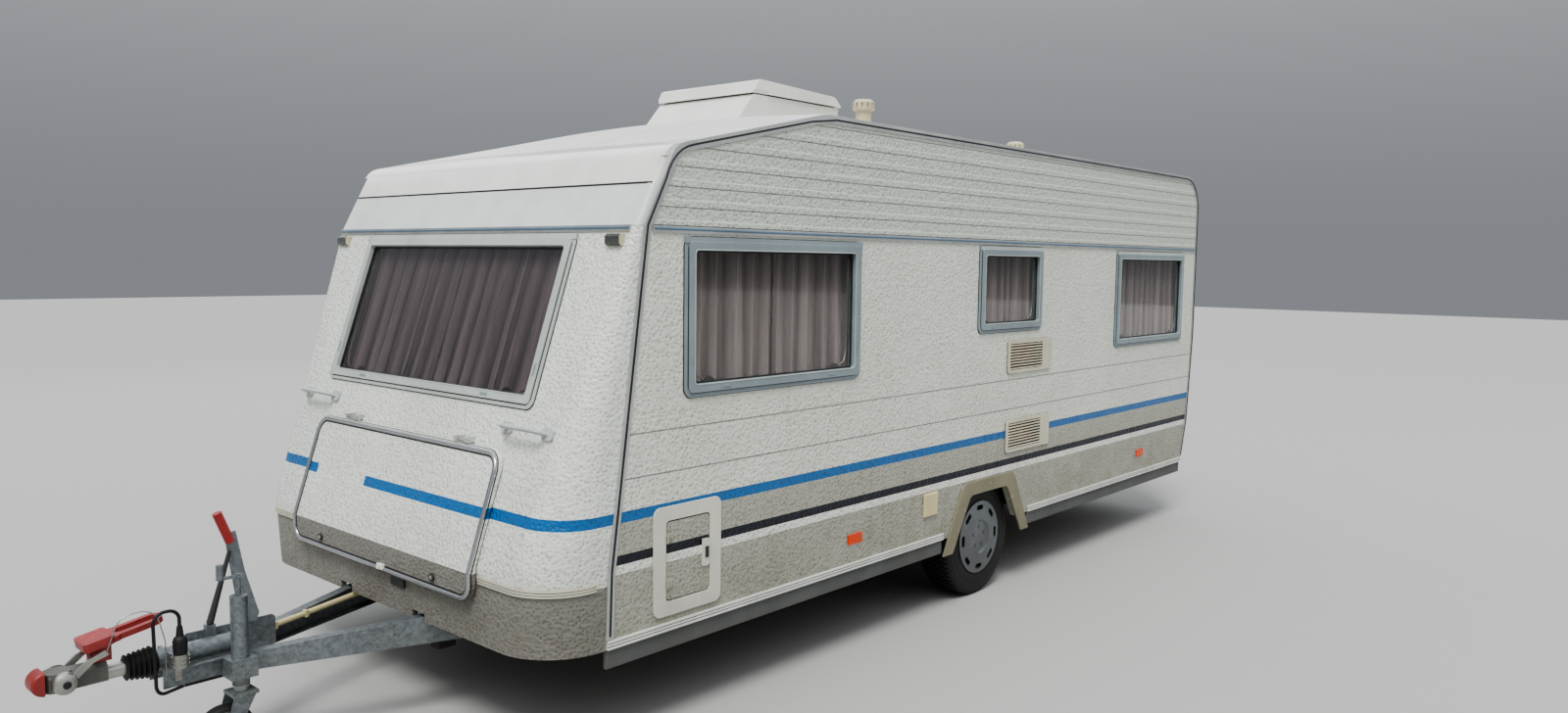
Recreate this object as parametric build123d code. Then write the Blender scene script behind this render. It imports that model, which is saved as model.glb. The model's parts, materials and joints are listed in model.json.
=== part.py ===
from build123d import *
import math
import os

# Travel caravan on one axle, parked on its two road wheels and its jockey wheel.
# X points forward to the coupling, Y to the caravan's left, Z up, ground at Z = 0, all in millimetres.
# Stations along X are measured from the front corner of the side wall at the waist strip;
# the last section moves every piece so that the origin lies under the middle of the whole length.

# Body shell
BODY_WIDTH = 2200
WALL = 30
ROOF_THICK = 30
FRONT_THICK = 25
FLOOR_THICK = 40
SHELL_BOTTOM = 400
FLOOR_BOTTOM = 432
WAIST_Z = 1955
SEAM_Z = 2114
CREASE_Z = 690
ROOF_Z = 2465
ROOF_CROWN = 35
CAP_SPLIT_Z = 2215
CAP_REAR_X = -300
ROOF_PEAK_X = -1045
ROOF_SLOPE = 0.2285
REAR_X = -5377
REAR_CURVE = 235
REAR_KNEE_Z = 1280
REAR_SKIRT_Z = 700
REAR_SKIRT_X = -5320
REAR_FOOT_X = -5235
HALF = BODY_WIDTH / 2

# Front face in plan, from the waist strip down: how far forward, side edge and corner radius
FRONT_WAIST_X = 30
FRONT_CREASE_X = 455
EDGE_CREASE_X = 172
EDGE_BOTTOM_X = 183
CORNER_WAIST_R = 28
CORNER_CREASE_R = 200
CORNER_BOTTOM_R = 255
UPPER_RAKE = 0.515

# Windows: name, front X, rear X, bottom Z, top Z
WINDOWS = [
    ("front", -205, -1315, 1297, 1917),
    ("middle", -2348, -3040, 1455, 1922),
    ("rear", -4025, -5135, 1299, 1919),
]
FRONT_WINDOW_WIDTH = BODY_WIDTH - 640
FRONT_WINDOW_TOP_Z = 1922
FRONT_WINDOW_BOTTOM_Z = 1262
REAR_WINDOW_WIDTH = 1300
REAR_WINDOW_BOTTOM_Z = 1300
REAR_WINDOW_TOP_Z = 1900
FRAME_FLANGE = 52
FRAME_PROUD = 8
FRAME_LAP = 14
FRAME_RADIUS = 38
SASH_STEP = 18
SASH_PROUD = 15
GLASS_RADIUS = 12
PANE_THICK = 5
PANE_RECESS = 14
RAIL_HEIGHT = 24
RAIL_PROUD = 12
FIT_GAP = 0.3

# Entrance door on the right side
DOOR_FRONT_X = -1390
DOOR_REAR_X = -1990
DOOR_BOTTOM_Z = 480
DOOR_TOP_Z = 2210
DOOR_GAP = 5
DOOR_FRAME_WIDTH = 28

# Service hatch on the left side
HATCH_FRONT_X = -49
HATCH_REAR_X = -411
HATCH_BOTTOM_Z = 460
HATCH_TOP_Z = 889
HATCH_BORDER_X = 68
HATCH_BORDER_Z = 62
HATCH_DEPTH = 260

# Locker lid in the front face
LID_HALF = 700
LID_TOP_Z = 1108
LID_BOTTOM_Z = 556
LID_CREASE_Z = 668
LID_THICK = 24
LID_RADIUS = 75
LID_SEAT = 6
LID_LAP = 48
LOCKER_REAR_X = -30
LOCKER_BOARD = 12

# Roof hood and roof pieces
HOOD_HALF = 345
HOOD_FRONT_X = -1250
HOOD_RAKED_X = -1405
HOOD_REAR_X = -2080
HOOD_BASE_Z = 2484
HOOD_RIM_Z = 2662
HOOD_WALL = 6
HOOD_LID_HEIGHT = 70
HOOD_OPENING_HALF = 290

# Wheels and axle
WHEEL_X = -2507
WHEEL_Y = 955
TYRE_RADIUS = 325
TYRE_WIDTH = 185
RIM_RADIUS = 178
COVER_RADIUS = 200
COVER_FACE_Y = 1058
AXLE_LEAD = 150
AXLE_TUBE = 100

# Wheel arch in the side wall: a trapezium
ARCH_HALF_BOTTOM = 375
ARCH_HALF_TOP = 190
ARCH_TOP_Z = 592
ARCH_TRIM = 72
ARCH_BOX_INNER_Y = 790
ARCH_BOX_TOP_Z = 690
ARCH_BOX_HALF = 410

# Chassis, drawbar and coupling
RAIL_Y = 600
RAIL_HEIGHT_MM = 100
RAIL_WIDTH = 45
RAIL_REAR_X = -5000
BEAM_LOW_Z = 303
BEAM_WIDTH = 45
BEAM_SKIN = 4
BEAM_NOSE_X = 1310
BEAM_KINK_X = 1000
BEAM_LEVEL_X = 165
BEAM_NOSE_Y = 62
BEAM_TOP_Z = 371
BEAM_SPREAD = 20.0
BALL_X = 1602
BALL_Z = 405
BALL_R = 25.25
SOCKET_LENGTH = 20
NOSE_X = 1695
SHAFT_R = 25
SHAFT_HOUSING_R = 38
SHAFT_Z = 392
BELLOWS_FOLDS = 6
AXLE_ARM_Y = 760
STUB_R = 22
DRUM_DEPTH = 30

# Jockey wheel
JOCKEY_X = 1070
JOCKEY_Y = 122
JOCKEY_TUBE_R = 30
JOCKEY_SKIN = 3
JOCKEY_INNER_R = JOCKEY_TUBE_R - JOCKEY_SKIN - 0.5
JOCKEY_WHEEL_R = 105
JOCKEY_WHEEL_WIDTH = 60
JOCKEY_TRAIL = 62

# Corner steadies: name, pivot X, side of Y, direction the leg points
STEADY_LENGTH = 430
STEADY_Y = BODY_WIDTH / 2 - 300
STEADY_Z = 392
STEADIES = [
    ("front_left", -330, 1, 1),
    ("front_right", -330, -1, 1),
    ("rear_left", -4680, 1, -1),
    ("rear_right", -4680, -1, -1),
]


def block(x0, x1, y0, y1, z0, z1):
    """Box from its low and high sides."""
    return Pos((x0 + x1) / 2, (y0 + y1) / 2, (z0 + z1) / 2) * Box(abs(x1 - x0), abs(y1 - y0), abs(z1 - z0))


def other_side(shape):
    return mirror(shape, about=Plane.XZ)


def front_x(z):
    """Middle of the front face at a height."""
    if z >= WAIST_Z:
        return FRONT_WAIST_X - (z - WAIST_Z) * UPPER_RAKE
    if z <= CREASE_Z:
        return FRONT_CREASE_X
    return FRONT_WAIST_X + (FRONT_CREASE_X - FRONT_WAIST_X) * (WAIST_Z - z) / (WAIST_Z - CREASE_Z)


def edge_x(z):
    """Front edge of the side wall at a height."""
    if z >= WAIST_Z:
        return -(z - WAIST_Z) * UPPER_RAKE
    if z <= CREASE_Z:
        return EDGE_CREASE_X + (EDGE_BOTTOM_X - EDGE_CREASE_X) * (CREASE_Z - z) / (CREASE_Z - SHELL_BOTTOM)
    return EDGE_CREASE_X * (WAIST_Z - z) / (WAIST_Z - CREASE_Z)


def corner_radius(z):
    if z >= WAIST_Z:
        return CORNER_WAIST_R
    if z <= CREASE_Z:
        return CORNER_CREASE_R + (CORNER_BOTTOM_R - CORNER_CREASE_R) * (CREASE_Z - z) / (CREASE_Z - SHELL_BOTTOM)
    return CORNER_WAIST_R + (CORNER_CREASE_R - CORNER_WAIST_R) * (WAIST_Z - z) / (WAIST_Z - CREASE_Z)


def wrap_edges(z, inset):
    """Plan line of the front face round both corners, from the right side wall to the left one."""
    half = HALF - inset
    nose = front_x(z) - inset
    radius = corner_radius(z) - inset
    back = edge_x(z)
    diagonal = radius * math.sqrt(0.5)
    turn = half - radius
    right = [(back, -half, z), (nose - radius, -half, z), (nose, -turn, z)]
    left = [(nose, turn, z), (nose - radius, half, z), (back, half, z)]
    middle_right = (nose - radius + diagonal, -turn - diagonal, z)
    middle_left = (nose - radius + diagonal, turn + diagonal, z)
    return [
        Line(right[0], right[1]),
        ThreePointArc(right[1], middle_right, right[2]),
        Line(right[2], left[0]),
        ThreePointArc(left[0], middle_left, left[1]),
        Line(left[1], left[2]),
    ]


def wrap_ring(z, thickness):
    """Closed plan section of the front wall, a band of even thickness."""
    outer = wrap_edges(z, 0)
    inner = wrap_edges(z, thickness)
    ends = [Line(outer[0] @ 0, inner[0] @ 0), Line(outer[-1] @ 1, inner[-1] @ 1)]
    return make_face(outer + inner + ends)


def wrap_fill(z, inset):
    """Closed plan section of the room behind the front wall."""
    inner = wrap_edges(z, inset)
    return make_face(inner + [Line(inner[0] @ 0, inner[-1] @ 1)])


def side_profile(front_points):
    """Side view of the body in X and Z, with its rounded corners."""
    points = front_points + [
        (ROOF_PEAK_X, ROOF_Z),
        (REAR_X, ROOF_Z),
        (REAR_X, REAR_KNEE_Z),
        (REAR_SKIRT_X, REAR_SKIRT_Z),
        (REAR_FOOT_X, SHELL_BOTTOM),
    ]
    radii = [1] * len(front_points) + [400, REAR_CURVE, 900, 300, 1]
    radii[front_points.index(front_points[-1])] = 105
    return points, radii


def profile_face(points, radii):
    outline = FilletPolyline(*[(x, z) for x, z in points], radius=radii, close=True)
    return make_face(Plane.XZ * outline)


def roof_front_corner(offset):
    """Where the raked upper front meets the roof's slope."""
    roof_at_zero = ROOF_Z + ROOF_SLOPE * ROOF_PEAK_X
    z = (roof_at_zero - ROOF_SLOPE * offset - ROOF_SLOPE * UPPER_RAKE * WAIST_Z) / (1 - ROOF_SLOPE * UPPER_RAKE)
    return offset - (z - WAIST_Z) * UPPER_RAKE, z


# Side view of the middle of the body, and of the edge of its side walls
MIDDLE_POINTS, MIDDLE_RADII = side_profile(
    [(FRONT_CREASE_X, SHELL_BOTTOM), (FRONT_CREASE_X, CREASE_Z), (FRONT_WAIST_X, WAIST_Z),
     roof_front_corner(FRONT_WAIST_X)])
EDGE_POINTS, EDGE_RADII = side_profile(
    [(EDGE_BOTTOM_X, SHELL_BOTTOM), (EDGE_CREASE_X, CREASE_Z), (0, WAIST_Z), roof_front_corner(0)])

nodes = {}


def keep(name, *shapes):
    solids = []
    for shape in shapes:
        solids += list(shape.solids())
    nodes[name] = Compound(children=[Solid(s.wrapped) for s in solids])


# Body shell panels
def slab_through(points, radii, width):
    return extrude(profile_face(points, radii), amount=width / 2, both=True)


body_solid = slab_through(MIDDLE_POINTS, MIDDLE_RADII, BODY_WIDTH)
middle_face = profile_face(MIDDLE_POINTS, MIDDLE_RADII)
room_face = offset(middle_face, amount=-ROOF_THICK)
shell_ring = extrude(middle_face - room_face, amount=HALF, both=True)

lower_levels = [WAIST_Z, CREASE_Z, SHELL_BOTTOM]
front_fill = loft([wrap_fill(z, 0) for z in lower_levels], ruled=True)
band_fill = loft([wrap_fill(z, 0) for z in (SEAM_Z, WAIST_Z)], ruled=True)
front_panel = loft([wrap_ring(z, FRONT_THICK) for z in lower_levels], ruled=True)
front_room = loft([wrap_fill(z, FRONT_THICK + 1) for z in lower_levels], ruled=True)
front_band = loft([wrap_ring(z, FRONT_THICK) for z in (SEAM_Z, WAIST_Z)], ruled=True)
cap_lower = loft([wrap_ring(z, FRONT_THICK) for z in (CAP_SPLIT_Z, SEAM_Z)], ruled=True)
cap_upper = shell_ring & block(CAP_REAR_X, 200, -HALF, HALF, CAP_SPLIT_Z, 2600)
front_cap = cap_upper + cap_lower


def roof_section(x, z_edge, crown):
    """Crowned band across the roof at one station."""
    outer = ThreePointArc((x, -HALF, z_edge), (x, 0, z_edge + crown), (x, HALF, z_edge))
    low = z_edge - ROOF_THICK
    inner = ThreePointArc((x, -HALF, low), (x, 0, low + crown), (x, HALF, low))
    ends = [Line(outer @ 0, inner @ 0), Line(outer @ 1, inner @ 1)]
    return make_face([outer, inner] + ends)


ROOF_JOIN_X = REAR_X + REAR_CURVE + 10
ROOF_SECTIONS = [
    (CAP_REAR_X, ROOF_Z + ROOF_SLOPE * (ROOF_PEAK_X - CAP_REAR_X), 4),
    (ROOF_PEAK_X, ROOF_Z, ROOF_CROWN),
    (ROOF_JOIN_X + 500, ROOF_Z, ROOF_CROWN),
    (ROOF_JOIN_X, ROOF_Z, 4),
]
roof = loft([roof_section(*row) for row in ROOF_SECTIONS], ruled=True)
rear_wall = shell_ring & block(REAR_X - 50, ROOF_JOIN_X, -HALF, HALF, SHELL_BOTTOM + ROOF_THICK, 2600)

edge_face = profile_face(EDGE_POINTS, EDGE_RADII)
wall_plate = Pos(0, HALF, 0) * extrude(edge_face, amount=WALL)
wall_plate = Pos(0, HALF - wall_plate.bounding_box().max.Y, 0) * wall_plate
wall_plate = wall_plate - front_cap - front_band - roof - rear_wall
wall_plate = wall_plate & block(-6000, 600, 0, HALF, SHELL_BOTTOM, ROOF_Z - 1)


def arch_points(grow, low):
    half_top = ARCH_HALF_TOP + grow
    half_low = ARCH_HALF_BOTTOM + grow
    top = ARCH_TOP_Z + grow
    return [(WHEEL_X + half_low, low), (WHEEL_X + half_top, top), (WHEEL_X - half_top, top),
            (WHEEL_X - half_low, low)]


def arch_solid(grow, low, y0, y1, radius):
    face = profile_face(arch_points(grow, low), [1, radius, radius, 1])
    solid = extrude(face, amount=(y1 - y0))
    return Pos(0, y0 - solid.bounding_box().min.Y, 0) * solid


arch_cut = arch_solid(0, SHELL_BOTTOM - 120, HALF - 80, HALF + 40, 45)


# Windows, built flat: x across, y up, z outwards, centred on the opening
def rounded(w, h, r):
    return RectangleRounded(w, h, r)


def window_hole(w, h):
    side = 2 * (FRAME_FLANGE - FRAME_LAP)
    return Pos(0, 0, -60) * extrude(rounded(w - side, h - side, GLASS_RADIUS + FRAME_LAP), amount=120)


def window_frame(w, h, wall):
    """Flange on the wall with a raised sash on it, a sleeve through the wall and the hinge rail on top."""
    opening = rounded(w - 2 * FRAME_FLANGE, h - 2 * FRAME_FLANGE, GLASS_RADIUS)
    side = 2 * (FRAME_FLANGE - FRAME_LAP + FIT_GAP)
    flange = extrude(rounded(w, h, FRAME_RADIUS) - opening, amount=FRAME_PROUD)
    sash_face = rounded(w - 2 * SASH_STEP, h - 2 * SASH_STEP, FRAME_RADIUS - SASH_STEP) - opening
    sash = extrude(sash_face, amount=SASH_PROUD)
    sleeve_face = rounded(w - side, h - side, GLASS_RADIUS + FRAME_LAP - FIT_GAP) - opening
    sleeve = Pos(0, 0, -wall) * extrude(sleeve_face, amount=wall)
    rail = Pos(0, h / 2 - RAIL_HEIGHT / 2, RAIL_PROUD / 2) * Box(w, RAIL_HEIGHT, RAIL_PROUD)
    return flange + sash + sleeve + rail


def window_pane(w, h):
    inset = FRAME_FLANGE + FIT_GAP
    face = rounded(w - 2 * inset, h - 2 * inset, GLASS_RADIUS - FIT_GAP)
    return Pos(0, 0, -PANE_RECESS) * extrude(face, amount=PANE_THICK)


def on_left(x0, x1, z0, z1):
    """Location of a flat-built piece on the outside of the left wall."""
    plane = Plane(origin=((x0 + x1) / 2, HALF, (z0 + z1) / 2), x_dir=(-1, 0, 0), z_dir=(0, 1, 0))
    return plane.location


left_holes = []
left_frames = []
left_panes = []
for name, x_front, x_rear, z_low, z_high in WINDOWS:
    place = on_left(x_front, x_rear, z_low, z_high)
    width, height = x_front - x_rear, z_high - z_low
    left_holes.append(place * window_hole(width, height))
    left_frames.append(place * window_frame(width, height, WALL))
    left_panes.append(place * window_pane(width, height))

# Fridge vents in the left wall: bottom Z
VENT_FRONT_X = -2668
VENT_REAR_X = -3166
VENT_HEIGHT = 186
VENT_BOTTOMS = [1220, 775]
VENT_SLATS = 9
VENT_SWITCH = 84
vent_pieces = []
vent_holes = []
for z_low in VENT_BOTTOMS:
    z_high = z_low + VENT_HEIGHT
    place = on_left(VENT_FRONT_X, VENT_REAR_X, z_low, z_high)
    width = VENT_FRONT_X - VENT_REAR_X
    grille_w = width - VENT_SWITCH - 2 * 22
    shift = -VENT_SWITCH / 2
    plate = extrude(rounded(width, VENT_HEIGHT, 16), amount=10, taper=12)
    grille = Pos(shift, 0, -1) * extrude(rounded(grille_w, VENT_HEIGHT - 2 * 20, 6), amount=20)
    body = plate - grille
    pitch = (VENT_HEIGHT - 2 * 20) / VENT_SLATS
    for i in range(VENT_SLATS):
        y = (i + 0.5 - VENT_SLATS / 2) * pitch
        slat = Pos(shift, y, 5.3) * Rot(38, 0, 0) * Box(grille_w + 2, 2.5, 11)
        body = body + slat
    vent_pieces.append(place * body)
    vent_holes.append(place * (Pos(shift, 0, -40) * extrude(rounded(grille_w - 10, VENT_HEIGHT - 50, 6),
                                                            amount=80)))

# Service hatch
hatch_place = on_left(HATCH_FRONT_X, HATCH_REAR_X, HATCH_BOTTOM_Z, HATCH_TOP_Z)
hatch_w = HATCH_FRONT_X - HATCH_REAR_X
hatch_h = HATCH_TOP_Z - HATCH_BOTTOM_Z
door_w, door_h = hatch_w - 2 * HATCH_BORDER_X, hatch_h - 2 * HATCH_BORDER_Z
hatch_hole = hatch_place * (Pos(0, 0, -60) * extrude(rounded(door_w + 30, door_h + 30, 24), amount=120))
hatch_rim = extrude(rounded(hatch_w, hatch_h, 34) - rounded(door_w + 2 * DOOR_GAP, door_h + 2 * DOOR_GAP,
                                                            18), amount=8)
hatch_sleeve = Pos(0, 0, -WALL) * extrude(
    rounded(door_w + 30 - 2 * FIT_GAP, door_h + 30 - 2 * FIT_GAP, 23)
    - rounded(door_w + 2 * DOOR_GAP, door_h + 2 * DOOR_GAP, 18), amount=WALL)
hatch_stop = Pos(0, 0, -WALL) * extrude(
    rounded(door_w + 2 * DOOR_GAP + 2, door_h + 2 * DOOR_GAP + 2, 18) - rounded(door_w - 24, door_h - 24,
                                                                                12), amount=5)
hatch_frame = hatch_place * (hatch_rim + hatch_sleeve + hatch_stop)
hatch_leaf = Pos(0, 0, 5 + FIT_GAP - WALL) * extrude(rounded(door_w, door_h, 14), amount=WALL + 1)
hatch_latch = Pos(door_w / 2 - 22, 0, 6) * extrude(rounded(46, 110, 12), amount=6)
hatch_hinges = [Pos(-door_w / 2 - 1, y, 12) * Rot(90, 0, 0) * Cylinder(5, 34) for y in (-90, 90)]
hatch_straps = [Pos(-door_w / 2 + 12, y, 9) * Box(28, 30, 6) for y in (-90, 90)]
hatch_leaf = hatch_leaf + hatch_latch
for piece in hatch_hinges + hatch_straps:
    hatch_leaf = hatch_leaf + piece
hatch_door = hatch_place * hatch_leaf
hatch_tray = block(HATCH_REAR_X + 50, HATCH_FRONT_X - 50, HALF - WALL - HATCH_DEPTH, HALF - WALL,
                   HATCH_BOTTOM_Z + 40, HATCH_TOP_Z - 40)
hatch_tray -= block(HATCH_REAR_X + 60, HATCH_FRONT_X - 60, HALF - WALL - HATCH_DEPTH + 10, HALF - WALL + 1,
                    HATCH_BOTTOM_Z + 50, HATCH_TOP_Z - 50)

wall_left = wall_plate - arch_cut - hatch_hole
for hole in left_holes + vent_holes:
    wall_left = wall_left - hole
keep("side_wall_left", wall_left)

# Right wall with the doorway; its windows mirror the left ones
doorway = block(DOOR_REAR_X, DOOR_FRONT_X, -HALF - 50, -HALF + WALL + 50, DOOR_BOTTOM_Z, DOOR_TOP_Z)
wall_right = other_side(wall_plate - arch_cut)
for hole in left_holes:
    wall_right = wall_right - other_side(hole)
wall_right = wall_right - doorway
keep("side_wall_right", wall_right)
window_frames = left_frames + [other_side(s) for s in left_frames]
window_panes = left_panes + [other_side(s) for s in left_panes]
keep("fridge_vents", *vent_pieces)
keep("hatch_frame", hatch_frame, hatch_tray)
keep("hatch_door", hatch_door)

# Front window, on the raked front face
FRONT_TILT = math.degrees(math.atan2(FRONT_CREASE_X - FRONT_WAIST_X, WAIST_Z - CREASE_Z))
rake_cos = math.cos(math.radians(FRONT_TILT))
front_height = (FRONT_WINDOW_TOP_Z - FRONT_WINDOW_BOTTOM_Z) / rake_cos
front_mid_z = (FRONT_WINDOW_TOP_Z + FRONT_WINDOW_BOTTOM_Z) / 2


def on_front(z, lift=0):
    """Location on the raked front face: x across to the left, y up along the rake, z outwards."""
    rake = math.radians(FRONT_TILT)
    normal = (math.cos(rake), 0, math.sin(rake))
    origin = (front_x(z) + lift * normal[0], 0, z + lift * normal[2])
    return Plane(origin=origin, x_dir=(0, 1, 0), z_dir=normal).location


front_place = on_front(front_mid_z)
front_frame = front_place * window_frame(FRONT_WINDOW_WIDTH, front_height, FRONT_THICK)
front_pane = front_place * window_pane(FRONT_WINDOW_WIDTH, front_height)
front_hole = front_place * window_hole(FRONT_WINDOW_WIDTH, front_height)

# Locker in the nose: opening, boards, seat rim and lid
LID_AXIS_Z = LID_TOP_Z + 12
locker_opening = block(200, 700, -LID_HALF + LID_LAP, LID_HALF - LID_LAP, LID_BOTTOM_Z + LID_LAP,
                       LID_TOP_Z - LID_LAP)
front_panel = front_panel - front_hole - locker_opening
window_frames.append(front_frame)
window_panes.append(front_pane)

locker_in = block(LOCKER_REAR_X + LOCKER_BOARD, 700, -LID_HALF - 40, LID_HALF + 40,
                  FLOOR_BOTTOM + FLOOR_THICK - 1, LID_TOP_Z + 30 - LOCKER_BOARD)
locker_side = block(LOCKER_REAR_X, 600, -LID_HALF - 40 - LOCKER_BOARD, LID_HALF + 40 + LOCKER_BOARD,
                    FLOOR_BOTTOM + FLOOR_THICK, LID_TOP_Z + 30)
locker_box = (locker_side & front_room) - locker_in
keep("locker_box", locker_box)


def front_slab(z_low, z_high, lift, thick, half, crease):
    """Slab that follows the front face at a distance, its outside bent at a height of its own."""
    outer = [(front_x(z) + lift + thick, z) for z in (z_high, crease, z_low)]
    inner = [(front_x(z) + lift, z) for z in (z_high, CREASE_Z, z_low)]
    outline = Polyline(*[(x, z) for x, z in outer + inner[::-1]], close=True)
    return extrude(make_face(Plane.XZ * outline), amount=half, both=True)


def front_stamp(half, z_low, z_high, radius):
    """Rounded rectangle pushed through the front face along X."""
    plane = Plane(origin=(100, 0, (z_low + z_high) / 2), x_dir=(0, 1, 0), z_dir=(1, 0, 0))
    return extrude(plane * RectangleRounded(2 * half, z_high - z_low, radius), amount=600)


lid = front_slab(LID_BOTTOM_Z, LID_TOP_Z, LID_SEAT, LID_THICK, LID_HALF, LID_CREASE_Z)
lid = lid & front_stamp(LID_HALF, LID_BOTTOM_Z, LID_TOP_Z, LID_RADIUS)
seat = front_slab(LID_BOTTOM_Z, LID_TOP_Z, 0, LID_SEAT - FIT_GAP, LID_HALF, CREASE_Z)
seat = seat & front_stamp(LID_HALF - 8, LID_BOTTOM_Z + 8, LID_TOP_Z - 8, LID_RADIUS - 8)
seat = seat - front_stamp(LID_HALF - LID_LAP, LID_BOTTOM_Z + LID_LAP, LID_TOP_Z - LID_LAP, 30)
LID_AXIS_X = front_x(LID_AXIS_Z) + LID_SEAT + LID_THICK
lid_pins = []
lid_brackets = []
for y in (-430, 430):
    pin = Pos(LID_AXIS_X, y, LID_AXIS_Z) * Rot(90, 0, 0) * Cylinder(5, 90)
    leaf = block(LID_AXIS_X - 10, LID_AXIS_X + 3, y - 22, y + 22, LID_AXIS_Z - 34, LID_AXIS_Z)
    lid_pins.append(pin)
    lid = lid + leaf
    for side in (-1, 1):
        y_ear = y + side * 35
        ear = block(front_x(LID_AXIS_Z + 14), LID_AXIS_X + 8, y_ear - 10, y_ear + 10, LID_AXIS_Z - 6,
                    LID_AXIS_Z + 14)
        ear = ear - Pos(LID_AXIS_X, y, LID_AXIS_Z) * Rot(90, 0, 0) * Cylinder(5 + FIT_GAP, 120)
        lid_brackets.append(ear - front_fill)
for y in (-445, 445):
    lock_z = LID_BOTTOM_Z + 52
    lock = Pos(front_x(lock_z) + LID_SEAT + LID_THICK, y, lock_z) * Rot(0, 90, 0) * Cylinder(16, 16)
    lid = lid + lock
for pin in lid_pins:
    lid = lid + pin
keep("locker_lid", lid)
keep("locker_seat", seat, *lid_brackets)
keep("front_band", front_band)
keep("front_cap", front_cap)

# Roof with the hole for the hood, and the hood's trunk and lid
hood_hole = block(HOOD_REAR_X + 40, HOOD_FRONT_X - 60, -HOOD_OPENING_HALF, HOOD_OPENING_HALF, ROOF_Z - 150,
                  ROOF_Z + 150)
keep("roof", roof - hood_hole)
trunk_points = [(HOOD_FRONT_X, HOOD_BASE_Z), (HOOD_RAKED_X, HOOD_RIM_Z), (HOOD_REAR_X, HOOD_RIM_Z),
                (HOOD_REAR_X + 12, HOOD_BASE_Z)]
trunk_face = make_face(Plane.XZ * Polyline(*trunk_points, close=True))
trunk = extrude(trunk_face, amount=HOOD_HALF, both=True)
trunk_low = Pos(0, 0, -1) * extrude(offset(trunk_face, amount=-HOOD_WALL), amount=HOOD_HALF - HOOD_WALL,
                                    both=True)
trunk_shaft = block(HOOD_REAR_X + 60, HOOD_FRONT_X - 70, -HOOD_OPENING_HALF, HOOD_OPENING_HALF,
                    HOOD_BASE_Z - 100, HOOD_BASE_Z + 20)
trunk_mouth = block(HOOD_REAR_X + 20, HOOD_RAKED_X - 20, -HOOD_HALF + 20, HOOD_HALF - 20,
                    HOOD_RIM_Z - 30, HOOD_RIM_Z + 20)
flange = block(HOOD_REAR_X - 25, HOOD_FRONT_X + 25, -HOOD_HALF - 25, HOOD_HALF + 25, ROOF_Z - 5,
               HOOD_BASE_Z + 6)
roof_fill = loft([make_face([
    ThreePointArc((x, -HALF, z_edge), (x, 0, z_edge + crown), (x, HALF, z_edge)),
    Line((x, -HALF, z_edge), (x, -HALF, 1900)), Line((x, -HALF, 1900), (x, HALF, 1900)),
    Line((x, HALF, 1900), (x, HALF, z_edge))]) for x, z_edge, crown in ROOF_SECTIONS[1:3]], ruled=True)
trunk = (trunk + flange) - trunk_low - trunk_shaft - trunk_mouth - roof_fill
HOOD_LID_GAP = 6
lid_base = HOOD_RIM_Z + HOOD_LID_GAP
hood_face = make_face(Plane.XZ * Polyline(
    (HOOD_RAKED_X + 14, lid_base), (HOOD_RAKED_X - 22, lid_base + HOOD_LID_HEIGHT),
    (HOOD_REAR_X + 40, lid_base + HOOD_LID_HEIGHT - 20), (HOOD_REAR_X - 16, lid_base), close=True))
hood_lid = extrude(hood_face, amount=HOOD_HALF + 12, both=True)
hood_lid = chamfer(hood_lid.edges().filter_by(Axis.Y).sort_by(Axis.Z)[-2:], 12)
side_cut = [Pos(0, side * (HOOD_HALF + 12), lid_base + 20) * Rot(side * -35, 0, 0)
            * Pos(HOOD_RAKED_X + 5, side * 100, 60) * Box(200, 200, 300) for side in (-1, 1)]
for cut in side_cut:
    hood_lid = hood_lid - cut
lid_over = lid_base + HOOD_LID_HEIGHT + 50
hood_inner = Pos(0, 0, -8) * (hood_lid & block(HOOD_REAR_X - 50, HOOD_RAKED_X + 50, -HOOD_HALF + 4,
                                               HOOD_HALF - 4, HOOD_BASE_Z, lid_over))
hood_lid = hood_lid - (hood_inner & block(HOOD_REAR_X + 8, HOOD_RAKED_X - 14, -HOOD_HALF, HOOD_HALF,
                                          HOOD_BASE_Z, lid_over))
HOOD_AXIS_X = HOOD_REAR_X - 24
HOOD_AXIS_Z = HOOD_RIM_Z - 8
for y in (-200, 200):
    pin = Pos(HOOD_AXIS_X, y, HOOD_AXIS_Z) * Rot(90, 0, 0) * Cylinder(4, 60)
    strap = block(HOOD_AXIS_X - 3, HOOD_REAR_X - 10, y - 12, y + 12, HOOD_AXIS_Z - 2, lid_base + 8)
    hood_lid = hood_lid + pin + strap
for y in (-200, 200):
    for side in (-1, 1):
        ear = block(HOOD_AXIS_X - 8, HOOD_REAR_X + 2, y + side * 21 - 7, y + side * 21 + 7,
                    HOOD_AXIS_Z - 20, HOOD_AXIS_Z + 6)
        trunk = trunk + ear - Pos(HOOD_AXIS_X, y, HOOD_AXIS_Z) * Rot(90, 0, 0) * Cylinder(4 + FIT_GAP, 80)
keep("hood_lid", hood_lid)
keep("hood_trunk", trunk)

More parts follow.
